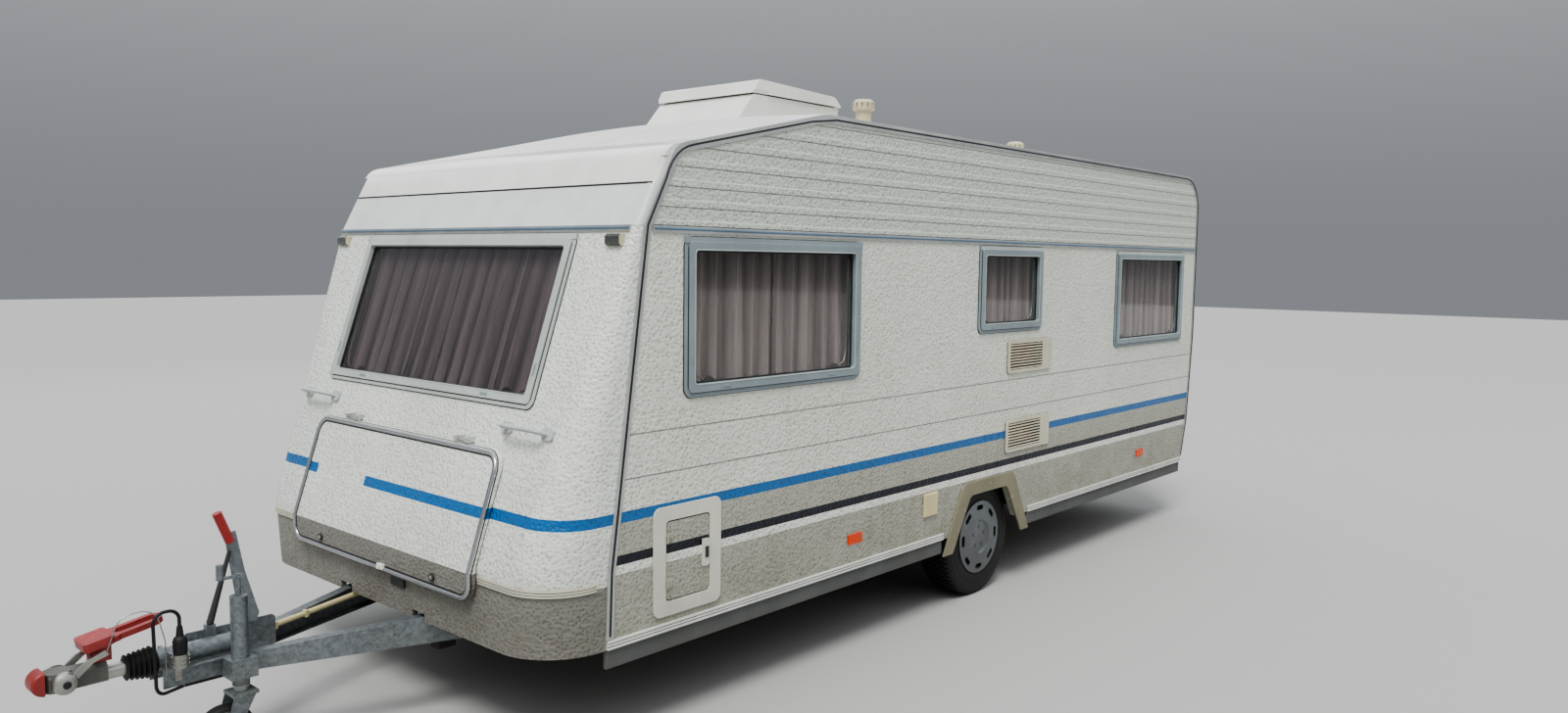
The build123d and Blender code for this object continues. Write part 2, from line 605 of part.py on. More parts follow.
# Heater chimney and small rear vent: X, Y, neck radius, cap radius, height above the roof
ROOF_VENTS = [(-1975, 600, 42, 58, 190), (-3500, 640, 40, 55, 105)]
roof_vents = []
for x, y, neck, cap, height in ROOF_VENTS:
    seat_z = ROOF_Z + ROOF_CROWN * (1 - (y / HALF) ** 2) - 4
    outline = Polyline((0, 0), (neck + 22, 0), (neck + 18, 10), (neck, 14), (neck, height - 62),
                       (cap, height - 52),
                       (cap, height - 14), (cap - 16, height), (0, height), close=True)
    body = revolve(make_face(Plane.XZ * outline), axis=Axis.Z)
    for i in range(12):
        slot = Rot(0, 0, i * 30) * Pos(cap, 0, height - 33) * Box(18, 9, 26)
        body = body - slot
    roof_vents.append(Pos(x, y, seat_z) * body - roof_fill)
keep("roof_vents", *roof_vents)

# Floor with the wheel boxes
floor = block(REAR_X, FRONT_CREASE_X, -HALF + WALL, HALF - WALL, FLOOR_BOTTOM, FLOOR_BOTTOM + FLOOR_THICK)
body_room = extrude(room_face, amount=HALF, both=True)
floor = floor & body_room & (front_room + block(REAR_X, EDGE_CREASE_X + 20, -HALF, HALF, 300, 900))
box_cut = block(WHEEL_X - ARCH_BOX_HALF, WHEEL_X + ARCH_BOX_HALF, ARCH_BOX_INNER_Y, HALF, 300, ARCH_BOX_TOP_Z)
floor = floor - box_cut - other_side(box_cut)
arch_shell = block(WHEEL_X - ARCH_BOX_HALF, WHEEL_X + ARCH_BOX_HALF, ARCH_BOX_INNER_Y, HALF - WALL,
                   FLOOR_BOTTOM, ARCH_BOX_TOP_Z)
arch_room = block(WHEEL_X - ARCH_BOX_HALF + 8, WHEEL_X + ARCH_BOX_HALF - 8, ARCH_BOX_INNER_Y + 8, HALF,
                  300, ARCH_BOX_TOP_Z - 8)
arch_box = arch_shell - arch_room
keep("floor", floor + arch_box + other_side(arch_box))

# Arch trims, waist strips, corner trims and sills
arch_ring = arch_solid(ARCH_TRIM, SHELL_BOTTOM - 92, HALF, HALF + 10, 75)
arch_ring = arch_ring - arch_solid(0, SHELL_BOTTOM - 120, HALF - 5, HALF + 20, 45)
keep("arch_trims", arch_ring, other_side(arch_ring))

STRIP_HEIGHT = 26
TRIM_WIDTH = 36
TRIM_THICK = 5
STRIP_PROUD = 7
strip_side = block(REAR_X + TRIM_WIDTH + 2, edge_x(WAIST_Z) - TRIM_WIDTH - 6, HALF, HALF + STRIP_PROUD,
                   WAIST_Z - STRIP_HEIGHT, WAIST_Z)
strip_front = block(FRONT_WAIST_X - 2, FRONT_WAIST_X + STRIP_PROUD + 6, -HALF + CORNER_WAIST_R,
                    HALF - CORNER_WAIST_R,
                    WAIST_Z - STRIP_HEIGHT, WAIST_Z)
strip_front = strip_front - band_fill - front_fill
DOOR_LAP = 24
door_break = block(DOOR_REAR_X - DOOR_LAP - 2, DOOR_FRONT_X + DOOR_LAP + 2, -HALF - 20, -HALF + 5, 0, 3000)

trim_face = edge_face - offset(edge_face, amount=-TRIM_WIDTH)
corner_trim = extrude(trim_face, amount=TRIM_THICK)
corner_trim = Pos(0, HALF - corner_trim.bounding_box().min.Y, 0) * corner_trim
corner_trim = corner_trim & block(-6000, 600, 0, HALF + 50, SHELL_BOTTOM + TRIM_WIDTH, 2600)
keep("edge_trims", corner_trim, other_side(corner_trim), strip_side, other_side(strip_side) - door_break,
     strip_front)

SILL_DROP = 75
TRIM_BAND = 34
sill_parts = []
sill_ranges = [(EDGE_BOTTOM_X - 8, WHEEL_X + ARCH_HALF_BOTTOM + ARCH_TRIM),
               (WHEEL_X - ARCH_HALF_BOTTOM - ARCH_TRIM, REAR_FOOT_X + 10)]
for x_front, x_rear in sill_ranges:
    band = block(x_rear, x_front, HALF, HALF + 8, SHELL_BOTTOM, SHELL_BOTTOM + TRIM_BAND)
    for i in range(2):
        z = SHELL_BOTTOM + TRIM_BAND * (i + 1) / 3
        band = band - block(x_rear - 1, x_front + 1, HALF + 5, HALF + 9, z - 2, z + 2)
    sill_parts.append(band)
keep("sill_trims", *sill_parts, *[other_side(s) for s in sill_parts])
skirts = []
for x_front, x_rear in sill_ranges:
    skirts.append(block(x_rear, x_front, HALF - 22, HALF - 4, SHELL_BOTTOM - SILL_DROP, SHELL_BOTTOM))

# Entrance door: frame in the doorway, leaf with window and handle
frame_out = block(DOOR_REAR_X + FIT_GAP, DOOR_FRONT_X - FIT_GAP, -HALF, -HALF + WALL, DOOR_BOTTOM_Z + FIT_GAP,
                  DOOR_TOP_Z - FIT_GAP)
frame_face = block(DOOR_REAR_X - DOOR_LAP, DOOR_FRONT_X + DOOR_LAP, -HALF - 8, -HALF,
                   DOOR_BOTTOM_Z - DOOR_LAP,
                   DOOR_TOP_Z + DOOR_LAP)
inset = DOOR_FRAME_WIDTH
clear = block(DOOR_REAR_X + inset, DOOR_FRONT_X - inset, -HALF - 20, -HALF + WALL + 10, DOOR_BOTTOM_Z + inset,
              DOOR_TOP_Z - inset)
rebate_in = inset - 14
rebate = block(DOOR_REAR_X + rebate_in, DOOR_FRONT_X - rebate_in, -HALF - 20, -HALF + WALL - 6,
               DOOR_BOTTOM_Z + rebate_in, DOOR_TOP_Z - rebate_in)
door_frame = (frame_out + frame_face) - clear - rebate
leaf_in = rebate_in + DOOR_GAP
leaf = block(DOOR_REAR_X + leaf_in, DOOR_FRONT_X - leaf_in, -HALF - 6, -HALF + WALL - 6 - FIT_GAP,
             DOOR_BOTTOM_Z + leaf_in, DOOR_TOP_Z - leaf_in)
DOOR_WINDOW_Z = (1330, 1980)
door_mid_x = (DOOR_FRONT_X + DOOR_REAR_X) / 2
win_plane = Plane(origin=(door_mid_x, -HALF - 6, sum(DOOR_WINDOW_Z) / 2), x_dir=(1, 0, 0), z_dir=(0, -1, 0))
win_w, win_h = 340, DOOR_WINDOW_Z[1] - DOOR_WINDOW_Z[0]
leaf = leaf - win_plane.location * (Pos(0, 0, -60) * extrude(rounded(win_w - 40, win_h - 40, 30), amount=120))
pane = win_plane.location * (Pos(0, 0, FIT_GAP) * extrude(rounded(win_w, win_h, 45), amount=10, taper=25))
handle_x = DOOR_REAR_X + leaf_in + 55
handle_plate = block(handle_x - 35, handle_x + 35, -HALF - 13, -HALF - 6, 1090, 1230)
handle_cup = block(handle_x - 24, handle_x + 24, -HALF - 14, -HALF - 9, 1120, 1160)
handle_grip = block(handle_x - 26, handle_x + 26, -HALF - 21, -HALF - 13, 1168, 1190)
leaf = leaf + handle_plate + handle_grip - handle_cup
DOOR_AXIS = (DOOR_FRONT_X - 6, -HALF - 16)
for z in (DOOR_BOTTOM_Z + 200, DOOR_TOP_Z - 200):
    barrel = Pos(DOOR_AXIS[0], DOOR_AXIS[1], z) * Cylinder(5, 60)
    strap = block(DOOR_AXIS[0] - 60, DOOR_AXIS[0], -HALF - 20, -HALF - 13, z - 26, z + 26)
    foot = block(DOOR_AXIS[0] - 60, DOOR_AXIS[0] - 34, -HALF - 14, -HALF - 6, z - 26, z + 26)
    leaf = leaf + barrel + strap + foot
keep("entrance_door", leaf)
keep("door_pane", pane)
for z in (DOOR_BOTTOM_Z + 200, DOOR_TOP_Z - 200):
    for side in (-1, 1):
        lug = Pos(DOOR_AXIS[0], DOOR_AXIS[1], z + side * 42) * Cylinder(5, 22)
        tab = block(DOOR_AXIS[0], DOOR_AXIS[0] + 26, -HALF - 20, -HALF - 7, z + side * 42 - 11,
                    z + side * 42 + 11)
        door_frame = door_frame + lug + tab
keep("door_frame", door_frame)

# Rear wall with its window, lamps, bumper rail and the bare place for a number plate
rear_mid_z = (REAR_WINDOW_BOTTOM_Z + REAR_WINDOW_TOP_Z) / 2


def on_rear(y, z):
    return Plane(origin=(REAR_X, y, z), x_dir=(0, -1, 0), z_dir=(-1, 0, 0)).location


def rear_face_x(z):
    """Outside of the rear wall at a height."""
    if z >= REAR_KNEE_Z:
        return REAR_X
    if z >= REAR_SKIRT_Z:
        return REAR_X + (REAR_SKIRT_X - REAR_X) * (REAR_KNEE_Z - z) / (REAR_KNEE_Z - REAR_SKIRT_Z)
    return REAR_SKIRT_X + (REAR_FOOT_X - REAR_SKIRT_X) * (REAR_SKIRT_Z - z) / (REAR_SKIRT_Z - SHELL_BOTTOM)


rear_tilt = math.degrees(math.atan2(REAR_SKIRT_X - REAR_X, REAR_KNEE_Z - REAR_SKIRT_Z))
rear_lean = (-math.cos(math.radians(rear_tilt)), 0, -math.sin(math.radians(rear_tilt)))
rear_height = REAR_WINDOW_TOP_Z - REAR_WINDOW_BOTTOM_Z
rear_place = on_rear(0, rear_mid_z)
rear_wall = rear_wall - rear_place * window_hole(REAR_WINDOW_WIDTH, rear_height)
keep("rear_wall", rear_wall)
window_frames.append(rear_place * window_frame(REAR_WINDOW_WIDTH, rear_height, ROOF_THICK))
window_panes.append(rear_place * window_pane(REAR_WINDOW_WIDTH, rear_height))
keep("window_frames", *window_frames)
keep("window_panes", *window_panes)

# Lamp clusters: bottom Z, height
LAMP_Y = 890
LAMP_WIDTH = 250
LAMP_Z = 585
LAMP_HEIGHT = 120
lamp_parts = []
for side in (-1, 1):
    y = side * LAMP_Y
    base = block(rear_face_x(LAMP_Z) - 34, rear_face_x(LAMP_Z + LAMP_HEIGHT) + 20, y - LAMP_WIDTH / 2,
                 y + LAMP_WIDTH / 2, LAMP_Z, LAMP_Z + LAMP_HEIGHT)
    lamp_parts.append(base - body_solid - rear_wall)
keep("rear_lamps", *lamp_parts)
bumper = block(REAR_FOOT_X - 75, REAR_FOOT_X - 10, -HALF + 40, HALF - 40, SHELL_BOTTOM + 20,
               SHELL_BOTTOM + 110)
keep("sill_skirts", *skirts, *[other_side(s) for s in skirts], bumper - body_solid)

# Marker lamps on the front corners and reflectors on the sides
MARKER_Z = 1922
MARKER_Y = 1010
markers = []
for side in (-1, 1):
    foot = block(front_x(MARKER_Z) - 20, front_x(MARKER_Z) + 34, side * MARKER_Y - 42, side * MARKER_Y + 42,
                 MARKER_Z - 46, MARKER_Z)
    foot = chamfer(foot.edges().filter_by(Axis.Y).group_by(Axis.X)[-1], 9)
    markers.append(foot - front_fill)
REFLECTORS = [(-1252, 522), (-4443, 532)]
side_reflectors = []
for x, z in REFLECTORS:
    amber = block(x - 106, x, HALF, HALF + 8, z, z + 48)
    side_reflectors += [amber, other_side(amber)]
keep("side_lamps", *markers, *side_reflectors)
INLET_X = -1872
INLET_TOP_Z = 666
INLET_SIZE = 120
inlet = block(INLET_X - INLET_SIZE, INLET_X, HALF, HALF + 14, INLET_TOP_Z - INLET_SIZE, INLET_TOP_Z)
inlet = chamfer(inlet.faces().sort_by(Axis.Y)[-1].edges(), 5)
keep("power_inlet", inlet)

# Grab handles: two on the front face, two on the rear
HANDLE_SPAN = 250
HANDLE_R = 12
handle_path = FilletPolyline((-HANDLE_SPAN / 2, 0, 0), (-HANDLE_SPAN / 2 + 18, 0, 58),
                             (HANDLE_SPAN / 2 - 18, 0, 58),
                             (HANDLE_SPAN / 2, 0, 0), radius=28)
handle = sweep(Plane(origin=handle_path @ 0, z_dir=handle_path % 0) * Ellipse(HANDLE_R, HANDLE_R - 3),
               path=handle_path)
for end in (-1, 1):
    handle = handle + Pos(end * HANDLE_SPAN / 2, 0, 5) * extrude(rounded(62, 44, 14), amount=10, both=False)
FRONT_HANDLE_Z = 1188
FRONT_HANDLE_Y = 790
REAR_HANDLE_Z = 1050
REAR_HANDLE_Y = 850
handles = []
for side in (-1, 1):
    spot = on_front(FRONT_HANDLE_Z) * Pos(side * FRONT_HANDLE_Y, 0, -4) * handle
    handles.append(spot - front_fill)
    back = Plane(origin=(rear_face_x(REAR_HANDLE_Z), side * REAR_HANDLE_Y, REAR_HANDLE_Z), x_dir=(0, -1, 0),
                 z_dir=rear_lean).location * Pos(0, 0, -4) * handle
    handles.append(back - body_solid)
keep("grab_handles", *handles)

# Chassis rails, drawbar beams and axle
def channel(length, height, width, skin):
    """Open channel along X from 0 to length, its web on the +Y side."""
    bar = block(0, length, 0, width, -height, 0)
    return bar - block(-1, length + 1, -1, width - skin, -height + skin, -skin)


KINK_ANGLE = math.radians(BEAM_SPREAD)
beam_run = (RAIL_Y - BEAM_NOSE_Y) / math.sin(KINK_ANGLE)
RAIL_FRONT_X = BEAM_KINK_X - (RAIL_Y - BEAM_NOSE_Y) / math.tan(KINK_ANGLE)
level_run = (BEAM_KINK_X - BEAM_LEVEL_X) / math.cos(KINK_ANGLE)
rail_low_z = FLOOR_BOTTOM - RAIL_HEIGHT_MM


def beam_profile(shrink):
    """Side view of the beam behind the kink, along its own run."""
    top = [(-10, BEAM_TOP_Z), (level_run, FLOOR_BOTTOM), (beam_run, FLOOR_BOTTOM)]
    low = [(-10, BEAM_LOW_Z), (level_run, BEAM_LOW_Z), (beam_run, rail_low_z)]
    return [(s, z - shrink) for s, z in top] + [(s, z + shrink) for s, z in low[::-1]]


def beam(shrink, width):
    line = Polyline(*beam_profile(shrink), close=True)
    bar = extrude(make_face(Plane.XZ * line), amount=width)
    bar = Pos(0, -bar.bounding_box().min.Y, 0) * bar
    return bar


beam_back = beam(0, BEAM_WIDTH) - Pos(0, BEAM_SKIN, 0) * beam(BEAM_SKIN, BEAM_WIDTH)
beam_back = Pos(BEAM_KINK_X, BEAM_NOSE_Y, 0) * Rot(0, 0, 180 - BEAM_SPREAD) * Pos(0, -BEAM_WIDTH,
                                                                                  0) * beam_back
beam_front = block(BEAM_KINK_X - 5, BEAM_NOSE_X, BEAM_NOSE_Y, BEAM_NOSE_Y + BEAM_SKIN + 2, BEAM_LOW_Z,
                   BEAM_TOP_Z)
beam_lip = block(BEAM_KINK_X - 5, BEAM_NOSE_X - 60, BEAM_NOSE_Y, BEAM_NOSE_Y + 24, BEAM_TOP_Z - BEAM_SKIN,
                 BEAM_TOP_Z)
drawbar_left = beam_back + beam_front + beam_lip
keep("drawbar_beams", drawbar_left, other_side(drawbar_left))

rail = Pos(RAIL_REAR_X, RAIL_Y - RAIL_WIDTH / 2, FLOOR_BOTTOM) * channel(
    RAIL_FRONT_X - RAIL_REAR_X - 40, RAIL_HEIGHT_MM, RAIL_WIDTH, 3)
rail = rail - drawbar_left
CROSS_STATIONS = [-900, -3900, -4950]
chassis = rail + other_side(rail)
for x in CROSS_STATIONS:
    chassis = chassis + block(x, x + 40, -RAIL_Y - RAIL_WIDTH / 2 + 1, RAIL_Y + RAIL_WIDTH / 2 - 1,
                              FLOOR_BOTTOM - 60, FLOOR_BOTTOM)
keep("chassis_frame", chassis)

axle_x = WHEEL_X + AXLE_LEAD
AXLE_Z = rail_low_z - AXLE_TUBE / 2
axle_tube = Pos(axle_x, 0, AXLE_Z) * extrude(Plane.XZ * RegularPolygon(AXLE_TUBE / 2, 6), amount=AXLE_ARM_Y,
                                             both=True)
axle_parts = [axle_tube]
for side in (-1, 1):
    y_in, y_out = sorted((side * AXLE_ARM_Y, side * (AXLE_ARM_Y + 40)))
    pivot = Pos(axle_x, AXLE_Z) * Circle(48)
    hub = Pos(WHEEL_X, TYRE_RADIUS) * Circle(36)
    arm_face = make_hull([*pivot.edges(), *hub.edges()])
    arm = extrude(Plane.XZ * arm_face, amount=40)
    arm = Pos(0, y_in - arm.bounding_box().min.Y, 0) * arm
    stub = Pos(WHEEL_X, side * (AXLE_ARM_Y + WHEEL_Y + 20) / 2, TYRE_RADIUS) * Rot(90, 0, 0) * Cylinder(
        STUB_R, WHEEL_Y + 20 - AXLE_ARM_Y)
    drum_plate = Pos(WHEEL_X, side * (WHEEL_Y - DRUM_DEPTH - 7), TYRE_RADIUS) * Rot(90, 0,
                                                                                    0) * Cylinder(112, 8)
    saddle = block(axle_x - 60, axle_x + 60, side * RAIL_Y - 30, side * RAIL_Y + 30, AXLE_Z - 10, rail_low_z)
    saddle = saddle - axle_tube
    axle_parts += [arm + stub + drum_plate, saddle]
keep("axle", *axle_parts)

# Wheels: tyre, rim with drum, and the scalloped cover
def placed_wheel(shape):
    """Turn a wheel built round X so that its outer side faces left."""
    return Pos(WHEEL_X, WHEEL_Y, TYRE_RADIUS) * Rot(0, 0, 90) * shape


half_w = TYRE_WIDTH / 2
tyre_line = Polyline((-half_w + 14, RIM_RADIUS), (half_w - 14, RIM_RADIUS), (half_w - 2, RIM_RADIUS + 26),
                     (half_w, RIM_RADIUS + 70), (half_w - 12, TYRE_RADIUS - 16), (half_w - 30,
                                                                                  TYRE_RADIUS - 3),
                     (0, TYRE_RADIUS), (-half_w + 30, TYRE_RADIUS - 3), (-half_w + 12, TYRE_RADIUS - 16),
                     (-half_w, RIM_RADIUS + 70), (-half_w + 2, RIM_RADIUS + 26), close=True)
tyre = placed_wheel(revolve(make_face(tyre_line), axis=Axis.X))
keep("tyre_left", tyre)
keep("tyre_right", other_side(tyre))
rim_line = Polyline((-half_w + 10, RIM_RADIUS - 4), (-half_w + 10, RIM_RADIUS - 0.3),
                    (half_w - 10, RIM_RADIUS - 0.3),
                    (half_w - 10, RIM_RADIUS - 5), (30, RIM_RADIUS - 12), (24, 100), (36, 70), (36,
                                                                                                32), (28, 32),
                    (24, 66), (14, 100), (18, RIM_RADIUS - 22), (-half_w + 10, RIM_RADIUS - 22), close=True)
rim = placed_wheel(revolve(make_face(rim_line), axis=Axis.X))
drum_line = Polyline((-DRUM_DEPTH, STUB_R + FIT_GAP), (-DRUM_DEPTH, 108), (10, 108), (13, 62), (27, 60),
                     (27, STUB_R + FIT_GAP), close=True)
drum = placed_wheel(revolve(make_face(drum_line), axis=Axis.X))
keep("rim_left", rim + drum)
keep("rim_right", other_side(rim + drum))

COVER_HOLES = 8
dome = COVER_FACE_Y - WHEEL_Y
cover_line = Polyline((half_w - 2, COVER_RADIUS), (half_w + 4, COVER_RADIUS), (dome - 6, COVER_RADIUS - 34),
                      (dome, 96),
                      (dome - 9, 84), (dome - 9, 0), (dome - 15, 0), (dome - 15, 86), (dome - 7, 100),
                      (dome - 13, COVER_RADIUS - 38), (half_w + 1, RIM_RADIUS - 8), (half_w - 9.7,
                                                                                     RIM_RADIUS - 8),
                      (half_w - 9.7, RIM_RADIUS - 3), (half_w - 1, RIM_RADIUS), (half_w - 2,
                                                                                 COVER_RADIUS - 6),
                      close=True)
cover = revolve(make_face(cover_line), axis=Axis.X)
for i in range(COVER_HOLES):
    turn = 360 / COVER_HOLES * i
    scallop = Rot(turn, 0, 0) * Pos(half_w, 0, COVER_RADIUS - 36) * Rot(0, 90, 0) * extrude(
        rounded(26, 62, 12), amount=30, both=True)
    cover = cover - scallop
for i in range(5):
    nut = Rot(72 * i, 0, 0) * Pos(dome - 12, 0, 56) * Rot(0, 90, 0) * Cylinder(11, 30)
    cover = cover - nut
cover = placed_wheel(cover)
keep("wheel_cover_left", cover)
keep("wheel_cover_right", other_side(cover))

# Corner steadies: bracket under the floor and a tapered channel leg with a foot
bracket_parts = []
for name, pivot_x, side, way in STEADIES:
    y = side * STEADY_Y
    leg_line = Polyline((-18, 16), (STEADY_LENGTH - 40, 10), (STEADY_LENGTH, -2), (STEADY_LENGTH, -12),
                        (STEADY_LENGTH - 60, -18), (-18, -20), close=True)
    leg = extrude(make_face(Plane.XZ * leg_line), amount=30, both=True)
    hollow = Polyline((20, 17), (STEADY_LENGTH - 70, 13), (STEADY_LENGTH - 70, -12), (20, -15), close=True)
    leg = leg - extrude(make_face(Plane.XZ * hollow), amount=26, both=True)
    leg = leg - Rot(90, 0, 0) * Cylinder(8.3, 80)
    foot = Pos(STEADY_LENGTH - 8, 0, -12) * Box(60, 90, 6)
    leg = leg + foot
    if way < 0:
        leg = mirror(leg, about=Plane.YZ)
    keep(f"steady_{name}", Pos(pivot_x, y, STEADY_Z) * leg)
    pin = Pos(pivot_x, y, STEADY_Z) * Rot(90, 0, 0) * Cylinder(8, 78)
    top = block(pivot_x - 34, pivot_x + 34, y - 39, y + 39, FLOOR_BOTTOM - 8, FLOOR_BOTTOM)
    cheeks = [block(pivot_x - 20, pivot_x + 20, y + c - 3, y + c + 3, STEADY_Z - 16,
                    FLOOR_BOTTOM - 4) for c in (-36, 36)]
    bracket_parts.append(top + cheeks[0] + cheeks[1] + pin)
keep("steady_brackets", *bracket_parts)

# Notches in the nose's lower edge where the drawbar beams pass
beam_y = BEAM_NOSE_Y + (BEAM_KINK_X - FRONT_CREASE_X) * math.tan(KINK_ANGLE)
for side in (-1, 1):
    y_in, y_out = sorted((side * (beam_y - 20), side * (beam_y + BEAM_WIDTH + 28)))
    front_panel = front_panel - block(FRONT_CREASE_X - 60, FRONT_CREASE_X + 20, y_in, y_out,
                                      SHELL_BOTTOM - 5, FLOOR_BOTTOM)
keep("front_panel", front_panel)

# Overrun housing between the beams, bellows, draw tube and coupling head
HOUSING_REAR_X = 865
BELLOWS_REAR_X = BEAM_NOSE_X + 6
BELLOWS_FRONT_X = 1412
housing = Pos((BEAM_KINK_X + BEAM_NOSE_X) / 2, 0, SHAFT_Z) * Rot(0, 90, 0) * Cylinder(
    SHAFT_HOUSING_R, BEAM_NOSE_X - BEAM_KINK_X)
web_plates = [block(x, x + 12, -BEAM_NOSE_Y, BEAM_NOSE_Y, SHAFT_Z - 52, SHAFT_Z + 30) for x in (1040, 1270)]
side_plate = block(HOUSING_REAR_X, 1200, -BEAM_NOSE_Y + 8, -BEAM_NOSE_Y + 13, BEAM_TOP_Z - 40,
                   BEAM_TOP_Z + 76)
side_plate = chamfer(side_plate.edges().filter_by(Axis.Y).group_by(Axis.Z)[-1], 12)
strut_foot = block(1096, 1130, -46, -20, SHAFT_Z, 468)
overrun = housing + web_plates[0] + web_plates[1] + side_plate + strut_foot
overrun = overrun - Pos(1200, 0, SHAFT_Z) * Rot(0, 90, 0) * Cylinder(SHAFT_R + FIT_GAP, 300)
keep("overrun_housing", overrun)

fold_pitch = (BELLOWS_FRONT_X - BELLOWS_REAR_X) / BELLOWS_FOLDS
bellows_points = [(BELLOWS_REAR_X, SHAFT_R + FIT_GAP), (BELLOWS_REAR_X, 50)]
for i in range(BELLOWS_FOLDS):
    x = BELLOWS_REAR_X + i * fold_pitch
    radius = 57 - i * 2.2
    bellows_points += [(x + fold_pitch * 0.25, radius - 12), (x + fold_pitch * 0.7, radius)]
bellows_points += [(BELLOWS_FRONT_X, 36), (BELLOWS_FRONT_X, SHAFT_R + FIT_GAP)]
bellows = revolve(make_face(Polyline(*bellows_points, close=True)), axis=Axis.X)
keep("bellows", Pos(0, 0, SHAFT_Z) * bellows)

draw_tube = Pos(1290, 0, SHAFT_Z) * Rot(0, 90, 0) * Cylinder(SHAFT_R, 410)
head_body = block(1470, BALL_X + 42, -36, 36, BALL_Z - 30, BALL_Z + 34)
head_body = chamfer(head_body.edges().filter_by(Axis.X).group_by(Axis.Z)[-1], 14)
head_nose = Pos(BALL_X + 10, 0, BALL_Z + 2) * Cylinder(44, 64)
socket = Pos(BALL_X, 0, BALL_Z - 30 + SOCKET_LENGTH / 2 - 5) * Cylinder(BALL_R, SOCKET_LENGTH + 10)
ball_room = Pos(BALL_X, 0, BALL_Z - 30 + SOCKET_LENGTH) * Sphere(BALL_R)
head = head_body + head_nose - socket - ball_room
domes = []
for side in (-1, 1):
    pad_line = Polyline((0, 0), (38, 0), (38, 8), (33, 20), (18, 28), (10, 29), (10, 25), (0, 25), close=True)
    dome_solid = revolve(make_face(Plane.XZ * pad_line), axis=Axis.Z)
    dome_solid = Pos(BALL_X, side * 44.3, BALL_Z) * Rot(-90 * side, 0, 0) * dome_solid
    domes.append(dome_solid)
    arm_path = Polyline((BALL_X - 20, BALL_Z + 24), (BALL_X - 60, BALL_Z + 58), (BALL_X - 118, BALL_Z + 84),
                        (BALL_X - 132, BALL_Z + 66), (BALL_X - 84, BALL_Z + 50), (BALL_X - 36,
                                                                                  BALL_Z + 8), close=True)
    arm = extrude(make_face(Plane.XZ * arm_path), amount=10)
    y0 = side * 46 if side > 0 else side * 46 - 10
    arm = Pos(0, y0 - arm.bounding_box().min.Y, 0) * arm
    domes[-1] = domes[-1] + arm
keep("coupling_head", head + draw_tube)
keep("friction_pads", *domes)

cap_line = ThreePointArc((BALL_X + 54.3, BALL_Z - 34), (NOSE_X, BALL_Z + 4), (BALL_X + 54.3, BALL_Z + 48))
cap_face = make_face([cap_line, Line(cap_line @ 1, cap_line @ 0)])
nose_cap = extrude(Plane.XZ * cap_face, amount=40, both=True)
nose_cap = fillet(nose_cap.edges().filter_by(GeomType.CIRCLE), 10)

grip_plane = Plane(origin=(BALL_X - 100, 0, BALL_Z + 92), x_dir=(-1, 0, 0.19), z_dir=(0.19, 0, 1))
grip_outer = Pos(128, 0) * SlotOverall(190, 92)
grip_inner = Pos(138, 0) * SlotOverall(140, 46)
grip_root = Pos(20, 0) * RectangleRounded(120, 104, 18)
grip_face = (grip_outer + grip_root) - grip_inner
grip = extrude(grip_plane * grip_face, amount=20)
grip = grip + extrude(grip_plane * (Pos(8, 0) * RectangleRounded(96, 116, 16)), amount=30)
grip = grip + block(BALL_X - 150, BALL_X - 84, -18, 18, BALL_Z + 34 + FIT_GAP, BALL_Z + 100)
keep("coupling_handle", grip, nose_cap)

# Handbrake lever with its strut, fixed at rest
lever_face = make_face(Polyline((940, 440), (1000, 446), (1036, 700), (1048, 792), (1008, 800), (978, 640),
                                (930, 470),
                                close=True))
lever = extrude(Plane.XZ * lever_face, amount=6)
lever = Pos(0, -BEAM_NOSE_Y + 18 - lever.bounding_box().min.Y, 0) * lever
grip_dir = Vector(1072 - 1028, 0, 890 - 775)
handbrake_grip = Plane(origin=(1028, -BEAM_NOSE_Y + 21, 760), z_dir=grip_dir).location * Pos(0, 0, 62) * (
    Cylinder(17, 124))
STRUT_TOP = Vector(1034, -BEAM_NOSE_Y + 29, 730)
STRUT_FOOT = Vector(1112, -BEAM_NOSE_Y + 29, 470)
strut_dir = STRUT_FOOT - STRUT_TOP
strut_place = Plane(origin=STRUT_TOP, z_dir=strut_dir).location
strut = strut_place * Pos(0, 0, strut_dir.length / 2) * Cone(7, 13, strut_dir.length)
keep("handbrake_lever", lever + handbrake_grip + strut - strut_foot)

# Jockey wheel: clamp on the left beam, outer tube, crank, inner tube, fork and wheel
clamp = block(JOCKEY_X - 46, JOCKEY_X + 46, BEAM_NOSE_Y + 8, JOCKEY_Y + 42, 300, 372)
clamp = clamp - Pos(JOCKEY_X, JOCKEY_Y, 330) * Cylinder(JOCKEY_TUBE_R - 1, 200) - drawbar_left
OUTER_TOP = 590
OUTER_LOW = 272
outer = Pos(JOCKEY_X, JOCKEY_Y, (OUTER_TOP + OUTER_LOW) / 2) * (
    Cylinder(JOCKEY_TUBE_R, OUTER_TOP - OUTER_LOW)
    - Cylinder(JOCKEY_TUBE_R - JOCKEY_SKIN, OUTER_TOP - OUTER_LOW + 2))
cap_plate = Pos(JOCKEY_X, JOCKEY_Y, OUTER_TOP + 5) * (Cylinder(JOCKEY_TUBE_R, 10))
crank_stem = Pos(JOCKEY_X, JOCKEY_Y, OUTER_TOP + 50) * Cylinder(9, 80)
crank_arm = Pos(JOCKEY_X + 30, JOCKEY_Y, OUTER_TOP + 82) * Box(86, 20, 8)
crank_knob = Pos(JOCKEY_X + 62, JOCKEY_Y, OUTER_TOP + 108) * Cylinder(13, 52)
keep("jockey_tube", clamp + outer + cap_plate + crank_stem + crank_arm + crank_knob)
INNER_TOP = 540
INNER_LOW = 2 * JOCKEY_WHEEL_R + 40
